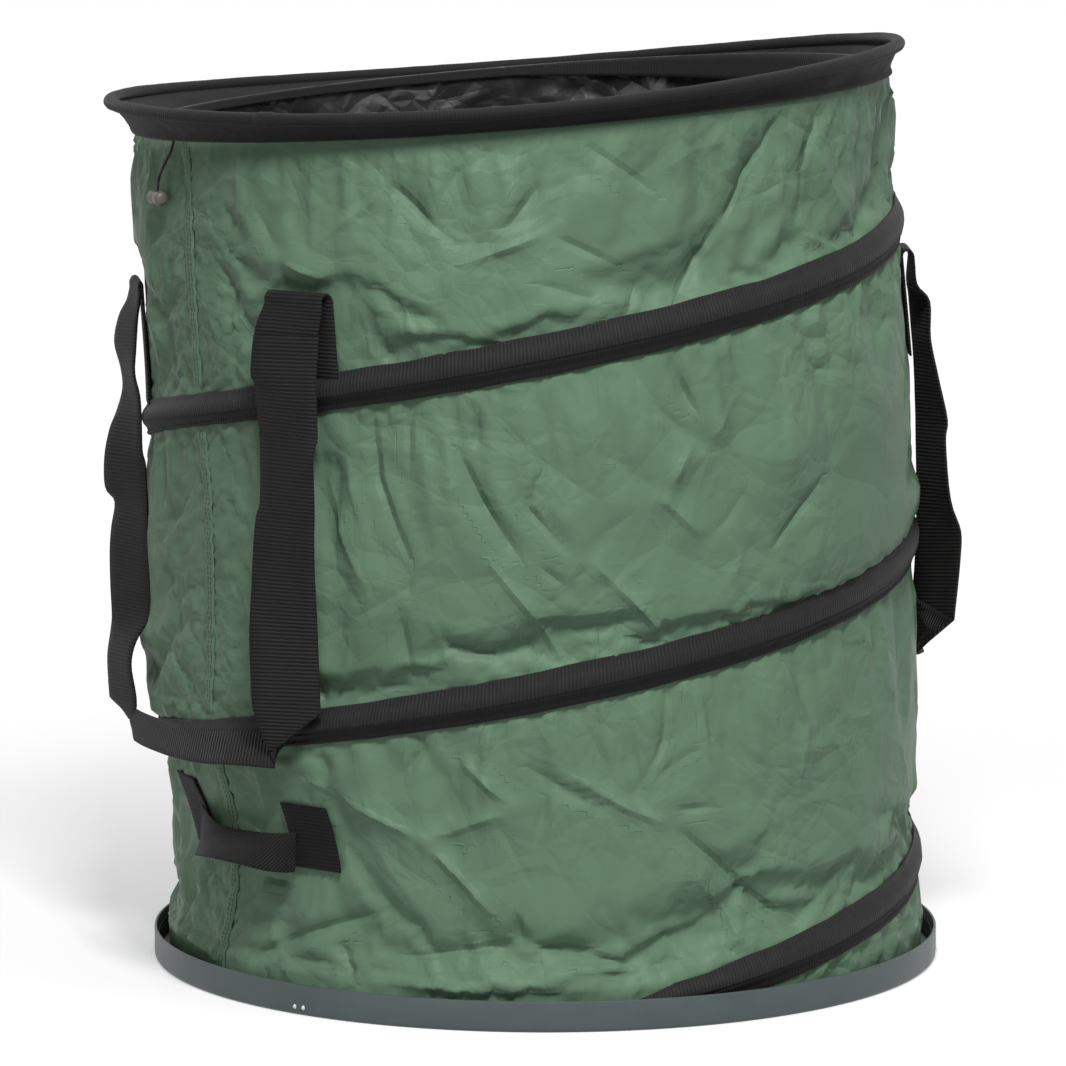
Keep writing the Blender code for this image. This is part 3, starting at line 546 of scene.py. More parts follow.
def close_ends(bm):
    edges = [edge for edge in bm.edges if edge.is_boundary]
    bmesh.ops.holes_fill(bm, edges=edges, sides=0)
    bmesh.ops.recalc_face_normals(bm, faces=bm.faces)


def new_piece(name, bm, materials, smooth_angle=45):
    mesh = bpy.data.meshes.new(name)
    bm.to_mesh(mesh)
    bm.free()
    mesh.shade_smooth()
    mesh.set_sharp_from_angle(angle=math.radians(smooth_angle))
    for material in materials:
        mesh.materials.append(material)
    piece = bpy.data.objects.new(name, mesh)
    bpy.context.scene.collection.objects.link(piece)
    return piece


def thicken(piece, thickness, offset, inner_slot=0, rim_slot=0):
    solid = piece.modifiers.new("Thickness", "SOLIDIFY")
    solid.thickness = thickness
    solid.offset = offset
    solid.material_offset = inner_slot
    solid.material_offset_rim = rim_slot
    return solid


def ribbon(name, edges, materials, thickness, across=6):
    """Flat webbing through pairs of edge points, with a UV map in metres along each edge."""
    bm = bmesh.new()
    bmesh.ops.create_grid(bm, x_segments=len(edges) - 1, y_segments=across, size=0.5)
    lengths = [(0.0, 0.0)]
    for (a, b), (c, d) in zip(edges, edges[1:]):
        lengths.append((lengths[-1][0] + (c - a).length, lengths[-1][1] + (d - b).length))
    width = (edges[0][1] - edges[0][0]).length
    place = {}
    for vert in bm.verts:
        station = round((vert.co.x + 0.5) * (len(edges) - 1))
        share = vert.co.y + 0.5
        left, right = edges[station]
        start, end = lengths[station]
        place[vert] = (start + (end - start) * share, share * width)
        vert.co = left.lerp(right, share)
    lay_uv(bm, place.get)
    piece = new_piece(name, bm, materials, 60)
    thicken(piece, thickness, 0)
    bevel = piece.modifiers.new("Selvedge", "BEVEL")
    bevel.width = thickness * 0.3
    bevel.segments = 1
    bevel.limit_method = "ANGLE"
    bevel.angle_limit = math.radians(60)
    return piece


def smooth_rows(rows, steps):
    """Rows of numbers along smooth curves through the given rows."""
    first = [2 * a - b for a, b in zip(rows[0], rows[1])]
    last = [2 * a - b for a, b in zip(rows[-1], rows[-2])]
    padded = [first, *rows, last]
    out = [list(rows[0])]
    for a, b, c, d in zip(padded, padded[1:], padded[2:], padded[3:]):
        for i in range(1, steps + 1):
            t = i / steps
            row = []
            for p, q, r, s in zip(a, b, c, d):
                bend = (2 * p - 5 * q + 4 * r - s) * t * t + (3 * q - p - 3 * r + s) * t ** 3
                row.append((2 * q + (r - p) * t + bend) / 2)
            out.append(row)
    return out


# Materials.


class Nodes:
    """Short calls to add and join the nodes of a tree."""

    def __init__(self, tree):
        self.tree = tree

    def feed(self, socket, value):
        """Joins a socket to an output, or gives it a value."""
        if isinstance(value, bpy.types.NodeSocket):
            self.tree.links.new(value, socket)
        else:
            socket.default_value = value

    def set(self, node, values):
        for key, value in values.items():
            self.feed(node.inputs[key.replace("_", " ").title().replace("Ior", "IOR")], value)

    def add(self, kind, settings=None, **values):
        node = self.tree.nodes.new("ShaderNode" + kind)
        for key, value in (settings or {}).items():
            setattr(node, key, value)
        self.set(node, values)
        return node

    def ramp(self, value, low, high, start=0.0, end=1.0):
        node = self.add("MapRange", value=value, from_min=low, from_max=high, to_min=start, to_max=end)
        return node.outputs["Result"]

    def worked(self, kind, operation, values):
        """The outputs of a maths node whose inputs are fed in order."""
        node = self.add(kind, {"operation": operation})
        for socket, value in zip(node.inputs, values):
            self.feed(socket, value)
        return node.outputs

    def maths(self, operation, *values):
        return self.worked("Math", operation, values)["Value"]

    def vectors(self, operation, *values):
        return self.worked("VectorMath", operation, values)

    def seen_by_eye(self):
        """1 for camera, glossy and transmission rays, and 0 for the rays that only light things."""
        path = self.add("LightPath").outputs
        either = self.maths("MAXIMUM", path["Is Camera Ray"], path["Is Glossy Ray"])
        return self.maths("MAXIMUM", either, path["Is Transmission Ray"])


class Finish(Nodes):
    """A node material with a Principled shader."""

    def __init__(self, name, colour, roughness, specular=0.5, sheen=0.0, sheen_roughness=0.5, **values):
        self.colour = colour
        self.material = bpy.data.materials.new(name)
        self.material.use_nodes = True
        super().__init__(self.material.node_tree)
        self.shader = self.tree.nodes["Principled BSDF"]
        values.update(base_color=(*colour, 1), roughness=roughness, specular_ior_level=specular)
        values.update(sheen_weight=sheen, sheen_roughness=sheen_roughness)
        self.set(self.shader, values)
        self.normal = None

    def place(self, uv=True):
        if uv:
            return self.add("UVMap", {"uv_map": "cloth"}).outputs["UV"]
        return self.add("TexCoord").outputs["Object"]

    def noise(self, vector, scale, detail=2.0, kind="FBM", **values):
        node = self.add("TexNoise", {"noise_type": kind}, vector=vector, scale=scale, detail=detail, **values)
        return node.outputs["Fac"]

    def bump(self, height, strength, distance):
        before = {"normal": self.normal} if self.normal else {}
        node = self.add("Bump", height=height, strength=strength, distance=distance, **before)
        self.normal = node.outputs["Normal"]
        self.feed(self.shader.inputs["Normal"], self.normal)

    def tint(self, factor, dark, light):
        """Drives the base colour between two shares of the finish's own colour."""
        node = self.add("Mix", {"data_type": "RGBA"})
        ends = [(*toned(self.colour, share), 1) for share in (dark, light)]
        for socket, value in zip((0, 6, 7), (factor, *ends)):
            self.feed(node.inputs[socket], value)
        self.feed(self.shader.inputs["Base Color"], node.outputs[2])

    def shade(self, factor, low, high):
        """Drives the roughness."""
        self.feed(self.shader.inputs["Roughness"], self.ramp(factor, 0, 1, low, high))


def toned(colour, share):
    return tuple(min(1.0, value * share) for value in colour)


def made(name):
    """A finish made by the first operator."""
    return bpy.data.materials[name]


def facets(finish, place, scale, high):
    """Flat-sided cells that meet in sharp lines."""
    cells = finish.add("TexVoronoi", {"feature": "DISTANCE_TO_EDGE"}, vector=place, scale=scale)
    return finish.ramp(cells.outputs["Distance"], 0.0, high)


def crumple_bumps(finish, place, strength):
    """Sharp crumples of four sizes, as in coated cloth that has been folded, strong only in patches."""
    warp = finish.add("TexNoise", vector=place, scale=9.0, detail=1.0).outputs["Color"]
    bent = finish.vectors("MULTIPLY_ADD", warp, (0.05, 0.05, 0.0), place)["Vector"]
    patchy = finish.ramp(finish.noise(place, 7.0, 1.0), 0.38, 0.6, 0.2, 1.0)
    finish.bump(facets(finish, bent, 12.0, 0.4), 0.5 * strength, 0.007)
    finish.bump(finish.maths("MULTIPLY", facets(finish, bent, 27.0, 0.35), patchy), 0.5 * strength, 0.0035)
    ridge = finish.noise(bent, 20.0, 2.0, "RIDGED_MULTIFRACTAL", roughness=0.5, lacunarity=2.1)
    finish.bump(ridge, 0.4 * strength, 0.003)
    finish.bump(finish.maths("MULTIPLY", facets(finish, bent, 62.0, 0.3), patchy), 0.35 * strength, 0.0016)
    return ridge


def weave_bump(finish, place, threads, strength, distance):
    """A plain weave of so many threads to the metre."""
    scale = threads * math.pi / 10
    warp = finish.add("TexWave", {"bands_direction": "X"}, vector=place, scale=scale)
    weft = finish.add("TexWave", {"bands_direction": "Y"}, vector=place, scale=scale)
    both = finish.maths("MAXIMUM", warp.outputs["Fac"], weft.outputs["Fac"])
    finish.bump(both, strength, distance)


def make_cloth(name, colour):
    finish = Finish(name, colour, roughness=0.46, specular=0.15, sheen=0.02, sheen_roughness=0.45)
    place = finish.place()
    ridge = crumple_bumps(finish, place, 1.0)
    mark = finish.add("Attribute", {"attribute_name": "crease"}).outputs["Vector"]
    parts = finish.add("SeparateXYZ", vector=mark)
    line = finish.ramp(finish.maths("ABSOLUTE", parts.outputs["X"]), 0.0, 0.0045, 1.0, 0.0)
    finish.bump(finish.maths("MULTIPLY", line, parts.outputs["Y"]), 0.9, 0.0026)
    weave_bump(finish, place, 1500, 0.12, 0.0001)
    mottle = finish.noise(place, 6.0, 4.0)
    # Painted highlight: the colour is lighter along the crumples' ridges, and the mottle adds random tone.
    highlights_and_tone = finish.maths("ADD", finish.maths("MULTIPLY", ridge, 0.4), finish.ramp(mottle, 0.3, 0.7, 0.1, 0.6))
    finish.tint(highlights_and_tone, 0.86, 1.16)
    finish.shade(mottle, 0.42, 0.58)
    return finish.material


def make_lining(name, colour):
    finish = Finish(name, colour, roughness=0.34, specular=0.5, coat_weight=0.12, coat_roughness=0.3)
    place = finish.place()
    crumple_bumps(finish, place, 1.3)
    mottle = finish.noise(place, 18.0, 3.0)
    finish.tint(mottle, 0.7, 1.5)
    finish.shade(mottle, 0.26, 0.46)
    return finish.material


def ribs_across(finish, place, pitch, strength, distance):
    """Ribs across a tape or strap, at a pitch in metres."""
    ribs = finish.add("TexWave", {"bands_direction": "X"}, vector=place, scale=math.pi / 10 / pitch,
                      distortion=0.6)
    finish.bump(ribs.outputs["Fac"], strength, distance)
    return ribs.outputs["Fac"]


def make_tape(name, colour):
    finish = Finish(name, colour, roughness=0.6, specular=0.14, sheen=0.05, sheen_roughness=0.5)
    place = finish.place()
    ribs_across(finish, place, 0.0026, 0.5, 0.0004)
    finish.bump(finish.noise(place, 60.0, 2.0), 0.3, 0.0015)
    fuzz = finish.noise(place, 240.0, 3.0)
    finish.tint(fuzz, 0.75, 1.6)
    finish.shade(fuzz, 0.62, 0.82)
    return finish.material


def make_casing(name, colour):
    """The spiral's tape: a ribbed upper part with painted highlights on its ribs, a fold line darkened with
    painted shade, and a plain strip below it darkened with painted shade.
    """
    finish = Finish(name, colour, roughness=0.6, specular=0.14, sheen=0.05, sheen_roughness=0.5)
    place = finish.place()
    over = finish.add("SeparateXYZ", vector=place).outputs["Y"]
    upper = finish.ramp(over, -0.0058, -0.0046)
    ribs = ribs_across(finish, place, 0.0026, 0.6, 0.0005)
    groove = finish.ramp(finish.maths("ABSOLUTE", finish.maths("ADD", over, 0.0048)), 0.0, 0.0016)
    finish.bump(groove, 0.9, 0.0016)
    finish.bump(finish.noise(place, 60.0, 2.0), 0.3, 0.0015)
    rib_highlights = finish.maths("MULTIPLY", ribs, finish.noise(place, 90.0, 3.0))
    tone = finish.maths("MULTIPLY", finish.ramp(rib_highlights, 0.0, 0.6, 0.35, 1.0), upper)
    # Painted light: highlights on the upper part's ribs, and painted shade in the fold line and on the lower
    # strip.
    finish.tint(finish.maths("MULTIPLY", tone, groove), 0.45, 2.6)
    finish.shade(finish.noise(place, 240.0, 3.0), 0.6, 0.8)
    return finish.material


def make_webbing(name, colour):
    """Ribs across the strap, with a painted highlight: a paler edge to each rib, stronger in random patches."""
    finish = Finish(name, colour, roughness=0.55, specular=0.16, sheen=0.05, sheen_roughness=0.45)
    place = finish.place()
    ribs = ribs_across(finish, place, 0.0027, 0.8, 0.0009)
    threads = finish.add("TexWave", {"bands_direction": "Y"}, vector=place, scale=190.0)
    finish.bump(threads.outputs["Fac"], 0.25, 0.0002)
    random_patches = finish.noise(place, 30.0, 4.0)
    highlights_and_tone = finish.maths("MULTIPLY", ribs, finish.ramp(random_patches, 0.3, 0.7, 0.3, 1.0))
    # Painted highlight: the ribs are made paler, more in some random patches than others.
    finish.tint(highlights_and_tone, 0.45, 2.3)
    finish.shade(random_patches, 0.58, 0.8)
    return finish.material


def make_plastic(name, colour, roughness):
    """Moulded plastic with a fine grain and a few dull scuffs."""
    finish = Finish(name, colour, roughness=roughness, specular=0.45)
    place = finish.place(uv=False)
    grain = finish.noise(place, 900.0, 2.0)
    finish.bump(grain, 0.15, 0.0003)
    scuffs = finish.noise(place, 35.0, 5.0)
    finish.tint(finish.ramp(scuffs, 0.35, 0.75), 0.93, 1.12)
    finish.shade(scuffs, roughness - 0.08, roughness + 0.12)
    return finish.material


def make_steel(name, colour):
    """Drawn wire with fine lines and slight tarnish."""
    finish = Finish(name, colour, roughness=0.35, metallic=1.0)
    place = finish.place(uv=False)
    tarnish = finish.noise(place, 80.0, 4.0)
    finish.bump(finish.noise(place, 1400.0, 2.0), 0.15, 0.0002)
    finish.tint(tarnish, 0.75, 1.05)
    finish.shade(tarnish, 0.28, 0.45)
    return finish.material


def make_seam_finish(name, colour):
    """Cloth with two rows of dark stitches along it."""
    finish = Finish(name, colour, roughness=0.5, specular=0.15, sheen=0.02, sheen_roughness=0.45)
    place = finish.place()
    parts = finish.add("SeparateXYZ", vector=place)
    along, across = parts.outputs["X"], parts.outputs["Y"]
    beside = finish.maths("ABSOLUTE", finish.maths("SUBTRACT", across, FELL_HALF_WIDTH))
    rows = finish.maths("ABSOLUTE", finish.maths("SUBTRACT", beside, 0.0018))
    line = finish.ramp(rows, 0.0003, 0.0008, 1.0, 0.0)
    dashes = finish.ramp(finish.maths("PINGPONG", along, 0.0018), 0.0004, 0.0007)
    stitch = finish.maths("MULTIPLY", line, dashes)
    finish.bump(stitch, 0.6, 0.0006)
    finish.bump(finish.noise(place, 70.0, 3.0), 0.5, 0.002)
    finish.tint(stitch, 0.95, 0.22)
    finish.shade(finish.noise(place, 20.0), 0.42, 0.58)
    return finish.material


def make_cord_finish(name, colour):
    """Braided cord."""
    finish = Finish(name, colour, roughness=0.75, specular=0.3, sheen=0.2, sheen_roughness=0.5)
    place = finish.place(uv=False)
    braid = finish.add("TexWave", {"bands_direction": "DIAGONAL"}, vector=place, scale=110.0, distortion=1.0)
    finish.bump(braid.outputs["Fac"], 0.6, 0.0003)
    finish.tint(braid.outputs["Fac"], 0.7, 2.2)
    finish.shade(finish.noise(place, 300.0), 0.65, 0.85)
    return finish.material


class BAG_OT_finishes(bpy.types.Operator):
    """Makes the cloth, tape, webbing, cord, plastic and steel finishes."""
    bl_idname = "leaf_bag.finishes"
    bl_label = "Finishes"

    def execute(self, context):
        colours = bag().colours
        make_cloth("Green coated cloth", colours.cloth[:])
        make_lining("Black coating", colours.lining[:])
        make_tape("Black binding tape", colours.tape[:])
        make_casing("Spiral's tape", colours.tape[:])
        make_webbing("Black webbing", colours.webbing[:])
        # The tipping patches' webbing: the black webbing darkened to 0.35 share with painted shade.
        make_webbing("Shaded webbing", toned(colours.webbing[:], 0.35))
        make_plastic("Grey tray plastic", colours.tray[:], 0.42)
        make_plastic("Toggle plastic", colours.toggle[:], 0.4)
        make_steel("Spring steel", colours.steel[:])
        make_seam_finish("Seam cloth", colours.cloth[:])
        make_cord_finish("Cord braid", colours.tape[:])
        return {"FINISHED"}


# Pieces.


def buckle(piece, held):
    """Lets a sheet that is cut a little too large buckle between the places where it is held."""
    group = piece.vertex_groups.new(name="held")
    for index, share in enumerate(held):
        if share > 0.02:
            group.add([index], share, "REPLACE")
    cloth = piece.modifiers.new("Cloth", "CLOTH")
    cloth.settings.quality = 4
    cloth.settings.mass = 0.15
    cloth.settings.air_damping = 4
    cloth.settings.tension_stiffness = 12
    cloth.settings.compression_stiffness = 12
    cloth.settings.shear_stiffness = 6
    cloth.settings.bending_stiffness = 0.03
    cloth.settings.shrink_min = -0.05
    cloth.settings.vertex_group_mass = "held"
    cloth.settings.effector_weights.gravity = 0.2
    cloth.point_cache.frame_end = SETTLE_FRAMES
    scene = bpy.context.scene
    for frame_number in range(1, SETTLE_FRAMES + 1):
        scene.frame_set(frame_number)
    depsgraph = bpy.context.evaluated_depsgraph_get()
    settled = [vert.co.copy() for vert in piece.evaluated_get(depsgraph).data.vertices]
    piece.modifiers.remove(cloth)
    piece.vertex_groups.remove(group)
    scene.frame_set(1)
    return settled


def stand_in(piece, body, node):
    """Moves with a body and is shown in place of a CAD node."""
    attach(piece, body)
    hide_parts(node)


def pushed_down(piece, node):
    """Stands on the base in a node's place and gets a mesh of its own."""
    stand_in(piece, "base", node)
    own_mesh(piece)


class BAG_OT_wall(bpy.types.Operator):
    """The cloth drum: one spun sheet, leaned, crumpled and thickened, green outside and coated inside."""
    bl_idname = "leaf_bag.wall"
    bl_label = "Cloth drum"

    def execute(self, context):
        drum = bag().drum
        top = drum.neck_height + CLOTH_OVER_NECK
        levels = [WALL_BOTTOM + (top - WALL_BOTTOM) * i / drum.rows for i in range(drum.rows + 1)]
        bm = spun([(drum.wall_radius, level) for level in levels], drum.around)
        for vert in bm.verts:
            angle = polar(vert.co)[0]
            angle -= FINE_SHIFT * sine(angle - FINE_ANGLE)
            vert.co = direction(angle) * drum.wall_radius + UP * vert.co.z
        face_outwards(bm)
        paint_round(bm, drum.wall_radius)
        for vert in bm.verts:
            vert.co = cloth_point(vert.co.z, polar(vert.co)[0])
        wall = new_piece("drum_cloth", bm, [made("Green coated cloth"), made("Black coating")], 80)
        held = [held_share(polar(vert.co)[0], vert.co.z) for vert in wall.data.vertices]
        for vert, share, settled in zip(wall.data.vertices, held, buckle(wall, held)):
            angle, radius = polar(vert.co)
            moved = polar(settled)[1] - radius
            level = vert.co.z
            vert.co += direction(angle) * min(max(moved, -INWARDS_CAP), OUTWARDS_CAP)
            vert.co.z += min(max(settled.z - level, -OUTWARDS_CAP), OUTWARDS_CAP) * (1 - share)
        bins = binned_creases()
        marks = []
        for vert, share in zip(wall.data.vertices, held):
            angle = polar(vert.co)[0]
            depth, gap, weight = crease_at(bins, angle, vert.co.z)
            vert.co += direction(angle) * depth * (1 - share)
            marks += [gap, weight * (1 - share), 0]
        wall.data.attributes.new("crease", "FLOAT_VECTOR", "POINT").data.foreach_set("vector", marks)
        thicken(wall, drum.cloth, -1, 1, 1)
        pushed_down(wall, "wall_cloth")
        return {"FINISHED"}


def tape_ring(name, profile, steps, radius, node):
    """A closed ring of binding tape inside the tray."""
    bm = spun(profile, steps, closed=True)
    paint_round(bm, radius)
    stand_in(new_piece(name, bm, [made("Black binding tape")]), "base", node)


class BAG_OT_floor(bpy.types.Operator):
    """The cloth bottom, the rolled piping round it and the hem inside the tray."""
    bl_idname = "leaf_bag.floor"
    bl_label = "Floor and hem"

    def execute(self, context):
        radius = bag().drum.wall_radius * WALL_SHARES[0][1] - bag().drum.cloth - 0.0008
        rings = 36
        bm = spun([(radius * i / rings, 0) for i in range(rings + 1)], 144)
        lay_uv(bm, lambda vert: vert.co.xy)
        for vert in bm.verts:
            rise = 0.5 + noise.noise(vert.co * 14) + 0.4 * abs(noise.noise(vert.co * 30))
            edge = eased(0, 0.03, radius - vert.co.to_2d().length)
            vert.co.z = WALL_BOTTOM + 0.0011 + 0.0016 * max(rise, 0) * edge
        bm.normal_update()
        if sum(face.normal.z for face in bm.faces) < 0:
            bmesh.ops.reverse_faces(bm, faces=bm.faces)
        floor = new_piece("floor_sheet", bm, [made("Black coating"), made("Green coated cloth")])
        thicken(floor, 0.0009, -1, 1, 1)
        stand_in(floor, "base", "floor_cloth")
        low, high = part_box("base_piping")
        piping_radius = (high.z - low.z) / 2
        middle = radius - piping_radius - 0.0004
        ring = ring_of(14, piping_radius, middle, low.z + 0.0004 + piping_radius)
        tape_ring("bottom_piping", ring, 180, middle, "base_piping")
        low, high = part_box("hem_tape")
        outer = high.x
        profile = [(outer - 0.001, low.z), (outer - 0.0011, high.z), (outer, high.z), (outer, low.z)]
        tape_ring("hem_band", profile, 240, outer, "hem_tape")
        return {"FINISHED"}


STEEL_NODES = ("base_hoop", "base_ferrule", "rim_hoop", "rim_ferrule")


class BAG_OT_tray(bpy.types.Operator):
    """The hard tray with a rounded top edge and corner, and the finish of the rivets and the wire hoops."""
    bl_idname = "leaf_bag.tray"
    bl_label = "Tray and metalwork"

    def execute(self, context):
        tray = bag().tray
        inner = tray.radius - tray.wall
        crown = 0.0009
        profile = [(0.0, tray.floor), (inner - 0.0015, tray.floor), (inner - 0.0004, tray.floor + 0.0004)]
        profile += [(inner, tray.floor + 0.0015), (inner, tray.height - crown)]
        for i in range(5):
            turn = math.pi * (1 - i / 4)
            profile.append((tray.radius - tray.wall / 2 + tray.wall / 2 * math.cos(turn),
                            tray.height - crown + crown * math.sin(turn)))
        profile.append((tray.radius, tray.corner + 0.002))
        for i in range(6):
            turn = math.pi / 2 * i / 5
            profile.append((tray.radius - tray.corner + tray.corner * math.cos(turn),
                            tray.corner - tray.corner * math.sin(turn)))
        profile.append((0.0, 0.0))
        bm = spun(profile, 256)
        piece = new_piece("tray", bm, [made("Grey tray plastic")], 30)
        stand_in(piece, "base", "base_tray")
        for name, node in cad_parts.items():
            if name.startswith("tray_rivet") or name in STEEL_NODES:
                node.data.materials.clear()
                node.data.materials.append(made("Spring steel"))
        return {"FINISHED"}


def spiral_sweep(outline, begin):
    """An outline of (stand-off, height) points spun with a rise, from an angle to the spiral's end."""
    drum = bag().drum
    count = round((SPIRAL_END - begin) / SPIRAL_STEP)
    laid = [(drum.wall_radius + off, height) for off, height in outline]
    return swept(laid, SPIRAL_STEP * count, count, drum.spiral_pitch * SPIRAL_STEP / 360)


def swept_place(point):
    """Degrees run, height off the middle line and stand-off of a point of a sweep."""
    drum = bag().drum
    angle, radius = polar(point)
    turn = angle + 360 * round((point.z * 360 / drum.spiral_pitch - angle) / 360)
    return turn, point.z - turn * drum.spiral_pitch / 360, radius - drum.wall_radius


class BAG_OT_spiral(bpy.types.Operator):
    """The spring wire and its tape casing: outlines spun with a rise, then laid on the drum."""
    bl_idname = "leaf_bag.spiral"
    bl_label = "Spiral spring and casing"

    def execute(self, context):
        drum = bag().drum
        half = drum.casing_height / 2
        depth = drum.casing_depth
        outline = [
            (0.0006, -half), (0.0006, 0), (0.0006, half), (0.0017, half + 0.0003), (0.0024, half - 0.0012),
            (0.0026, half * 0.72), (depth * 0.8, half * 0.42), (depth, half * 0.16), (depth, -half * 0.14),
            (depth * 0.82, -half * 0.4), (0.0029, -half * 0.66), (0.0024, -half * 0.82),
            (0.0031, -half + 0.0012), (0.0026, -half - 0.0006), (0.0014, -half - 0.0009),
        ]
        begin = SPIRAL_START - SINK_BEFORE
        bm = spiral_sweep(outline, begin)
        place = {}
        for vert in bm.verts:
            turn, over, off = swept_place(vert.co)
            real = begin + turn
            place[vert] = (math.radians(turn) * drum.wall_radius, over)
            wave = noise.noise(direction(real) * 9 + UP * (turn / 90)) * 0.0012
            pucker = noise.noise(direction(real) * 26 + UP * (over * 90 + turn / 60)) * 0.0005
            edge = abs(over) / half
            over *= 1 - 0.2 * max(0, cosine(real - SEAM_ANGLE)) ** 4
            if over > 0:
                ready = min(max((real - SPIRAL_START) / SINK_AFTER, 0), 1)
                over *= NARROW_SHARE + (1 - NARROW_SHARE) * ready
            height = spiral_height(real) + over * (1 + wave * 30) + wave * edge
            off += pucker * eased(0.001, 0.002, off)
            sunk = SINK_SHARE + (1 - SINK_SHARE) * min(max((real - begin) / SINK_BEFORE, 0), 1)
            height = SINK_HEIGHT + (height - SINK_HEIGHT) * sunk
            vert.co = wall_point(max(height, 0.0045), real, off)
        lay_uv(bm, place.get)
        close_ends(bm)
        casing = new_piece("spiral_tape", bm, [made("Spiral's tape")], 50)
        pushed_down(casing, "spiral_casing")
        begin = SPIRAL_START + SPIRAL_STEP
        bm = spiral_sweep(ring_of(8, WIRE_RADIUS, WIRE_OFF), begin)
        for vert in bm.verts:
            turn, over, off = swept_place(vert.co)
            vert.co = wall_point(spiral_height(begin + turn) + over, begin + turn, off)
        close_ends(bm)
        spring = new_piece("spring_wire", bm, [made("Spring steel")])
        pushed_down(spring, "spiral_wire")
        return {"FINISHED"}


FELL_HALF_WIDTH = 0.0058
FELL_THICKNESS = 0.0006
# Side seam: height, and how far it wanders from its straight line in degrees.
SEAM_ROWS = ((0.03, 1.5), (0.075, 3.5), (0.125, 3.0), (0.16, 1.5), (0.21, 0.5), (0.27, 1.5), (0.315, 2.6),
             (0.355, 2.8), (0.43, -0.8), (0.46, -0.4), (0.51, -0.2), (0.62, 0.0))


class BAG_OT_seams(bpy.types.Operator):
    """The felled side seam, in three runs between the passes of the spiral."""
    bl_idname = "leaf_bag.seams"
    bl_label = "Side seam"

    def execute(self, context):
        mesh = bpy.data.objects["drum_cloth"].data
        surface = BVHTree.FromPolygons(
            [vert.co for vert in mesh.vertices], [face.vertices for face in mesh.polygons])
        half = math.degrees(FELL_HALF_WIDTH / bag().drum.wall_radius)
        for word in ("lower", "middle", "upper"):
            node = f"side_seam_{word}"
            low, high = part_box(node)
            count = round((high.z - low.z) / 0.004)
            edges = []
            for i in range(count + 1):
                height = low.z + (high.z - low.z) * i / count
                wander = rows_between(SEAM_ROWS, height)[0] * eased(0.02, 0.05, height)
                wander *= 1 - eased(0.56, 0.6, height)
                pair = []
                for side in (-1, 1):
                    angle = SEAM_ANGLE + 0.5 * wander + side * half
                    outside = wall_point(height, angle, 0.03)
                    inwards = -direction(angle)
                    point = surface.ray_cast(outside, inwards)[0]
                    pair.append(point - inwards * FELL_THICKNESS)
                edges.append(tuple(pair))
            seam = ribbon(f"side_fell_{word}", edges, [made("Seam cloth")], FELL_THICKNESS, 2)
            pushed_down(seam, node)
        return {"FINISHED"}


def make_rolled_lip(rim):
    """The rolled lip over the rim's hoop."""
    bm = spun(ring_of(14, rim.lip_radius, rim.radius), 260, closed=True)
    paint_round(bm, rim.radius)
    for vert in bm.verts:
        angle, radius = polar(vert.co)
        plump = 1 + 0.07 * noise.noise(direction(angle) * 6) + 0.05 * noise.noise(direction(angle) * 21)
        out, up = (radius - rim.radius) * plump, vert.co.z * plump
        vert.co = rim_point(angle) + direction(angle) * out + UP * up
    lip = new_piece("rolled_lip", bm, [made("Black binding tape")])
    stand_in(lip, "rim", "rim_binding")


def make_lip_overlap(rim):
    """The lip's overlapped joint."""
    bm = swept(ring_of(16, rim.lip_radius + 0.0008, rim.radius), LIP_JOINT_WIDTH, 8)
    lay_uv(bm, lambda vert: (polar(vert.co)[0] / 360 * 1.7, vert.co.z))
    for vert in bm.verts:
        angle, radius = polar(vert.co)
        real = LIP_JOINT_ANGLE + angle
        snug = 1 - 0.12 * eased(1.0, 1.6, abs(angle - LIP_JOINT_WIDTH / 2))
        out, up = (radius - rim.radius) * snug, vert.co.z * snug
        vert.co = rim_point(real) + direction(real) * out + UP * up
    close_ends(bm)
    joint = new_piece("lip_overlap", bm, [made("Black binding tape")])
    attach(joint, "rim")


def make_flared_collar(rim):
    """The flared tape between the lip and the neck of the cloth."""
    bm = spun([(rim.radius, share) for share in shares(12)], 360)
    face_outwards(bm)
    paint_round(bm, rim.radius, COLLAR_RISE)
    for vert in bm.verts:
        angle = polar(vert.co)[0]
        share = vert.co.z
        foot = level_point(bag().drum.neck_height, angle, 0.0017)
        lip_centre = rim_point(angle)
        down = (foot - lip_centre).normalized()
        top = lip_centre + down * (rim.lip_radius - 0.0006)
        belly = math.sin(math.pi * share)
        pucker = noise.noise(direction(angle) * 24 + UP * share * 1.5) * 0.0008 * belly
        fold = noise.noise(direction(angle) * 7 + UP * (share + 3)) * 0.0016 * belly
        hem = 0.0007 * (1 - eased(0.1, 0.2, share))
        vert.co = foot.lerp(top, share) + direction(angle) * (pucker + fold + hem - 0.002 * belly)
    collar = new_piece("flared_collar", bm, [made("Black binding tape")])
    thicken(collar, 0.0012, 0)
    stand_in(collar, "rim", "rim_collar")


def make_collar_inner_leaf(rim):
    """The leaf inside the neck, deepest on the high side of the rim."""
    bm = spun([(rim.radius, share) for share in shares(5)], 240)
    face_outwards(bm)
    paint_round(bm, rim.radius, COLLAR_RISE)
    for vert in bm.verts:
        angle, share = polar(vert.co)[0], vert.co.z
        deep = 0.007 + 0.0165 * max(0, -cosine(angle - LEAN_ANGLE))
        level = bag().drum.neck_height + 0.005 - deep * (1 - share)
        vert.co = level_point(level, angle, -0.0023 - 0.19 * deep * (1 - share))
    leaf = new_piece("collar_inner_leaf", bm, [made("Black binding tape")])
    thicken(leaf, 0.001, 0)
    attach(leaf, "rim")


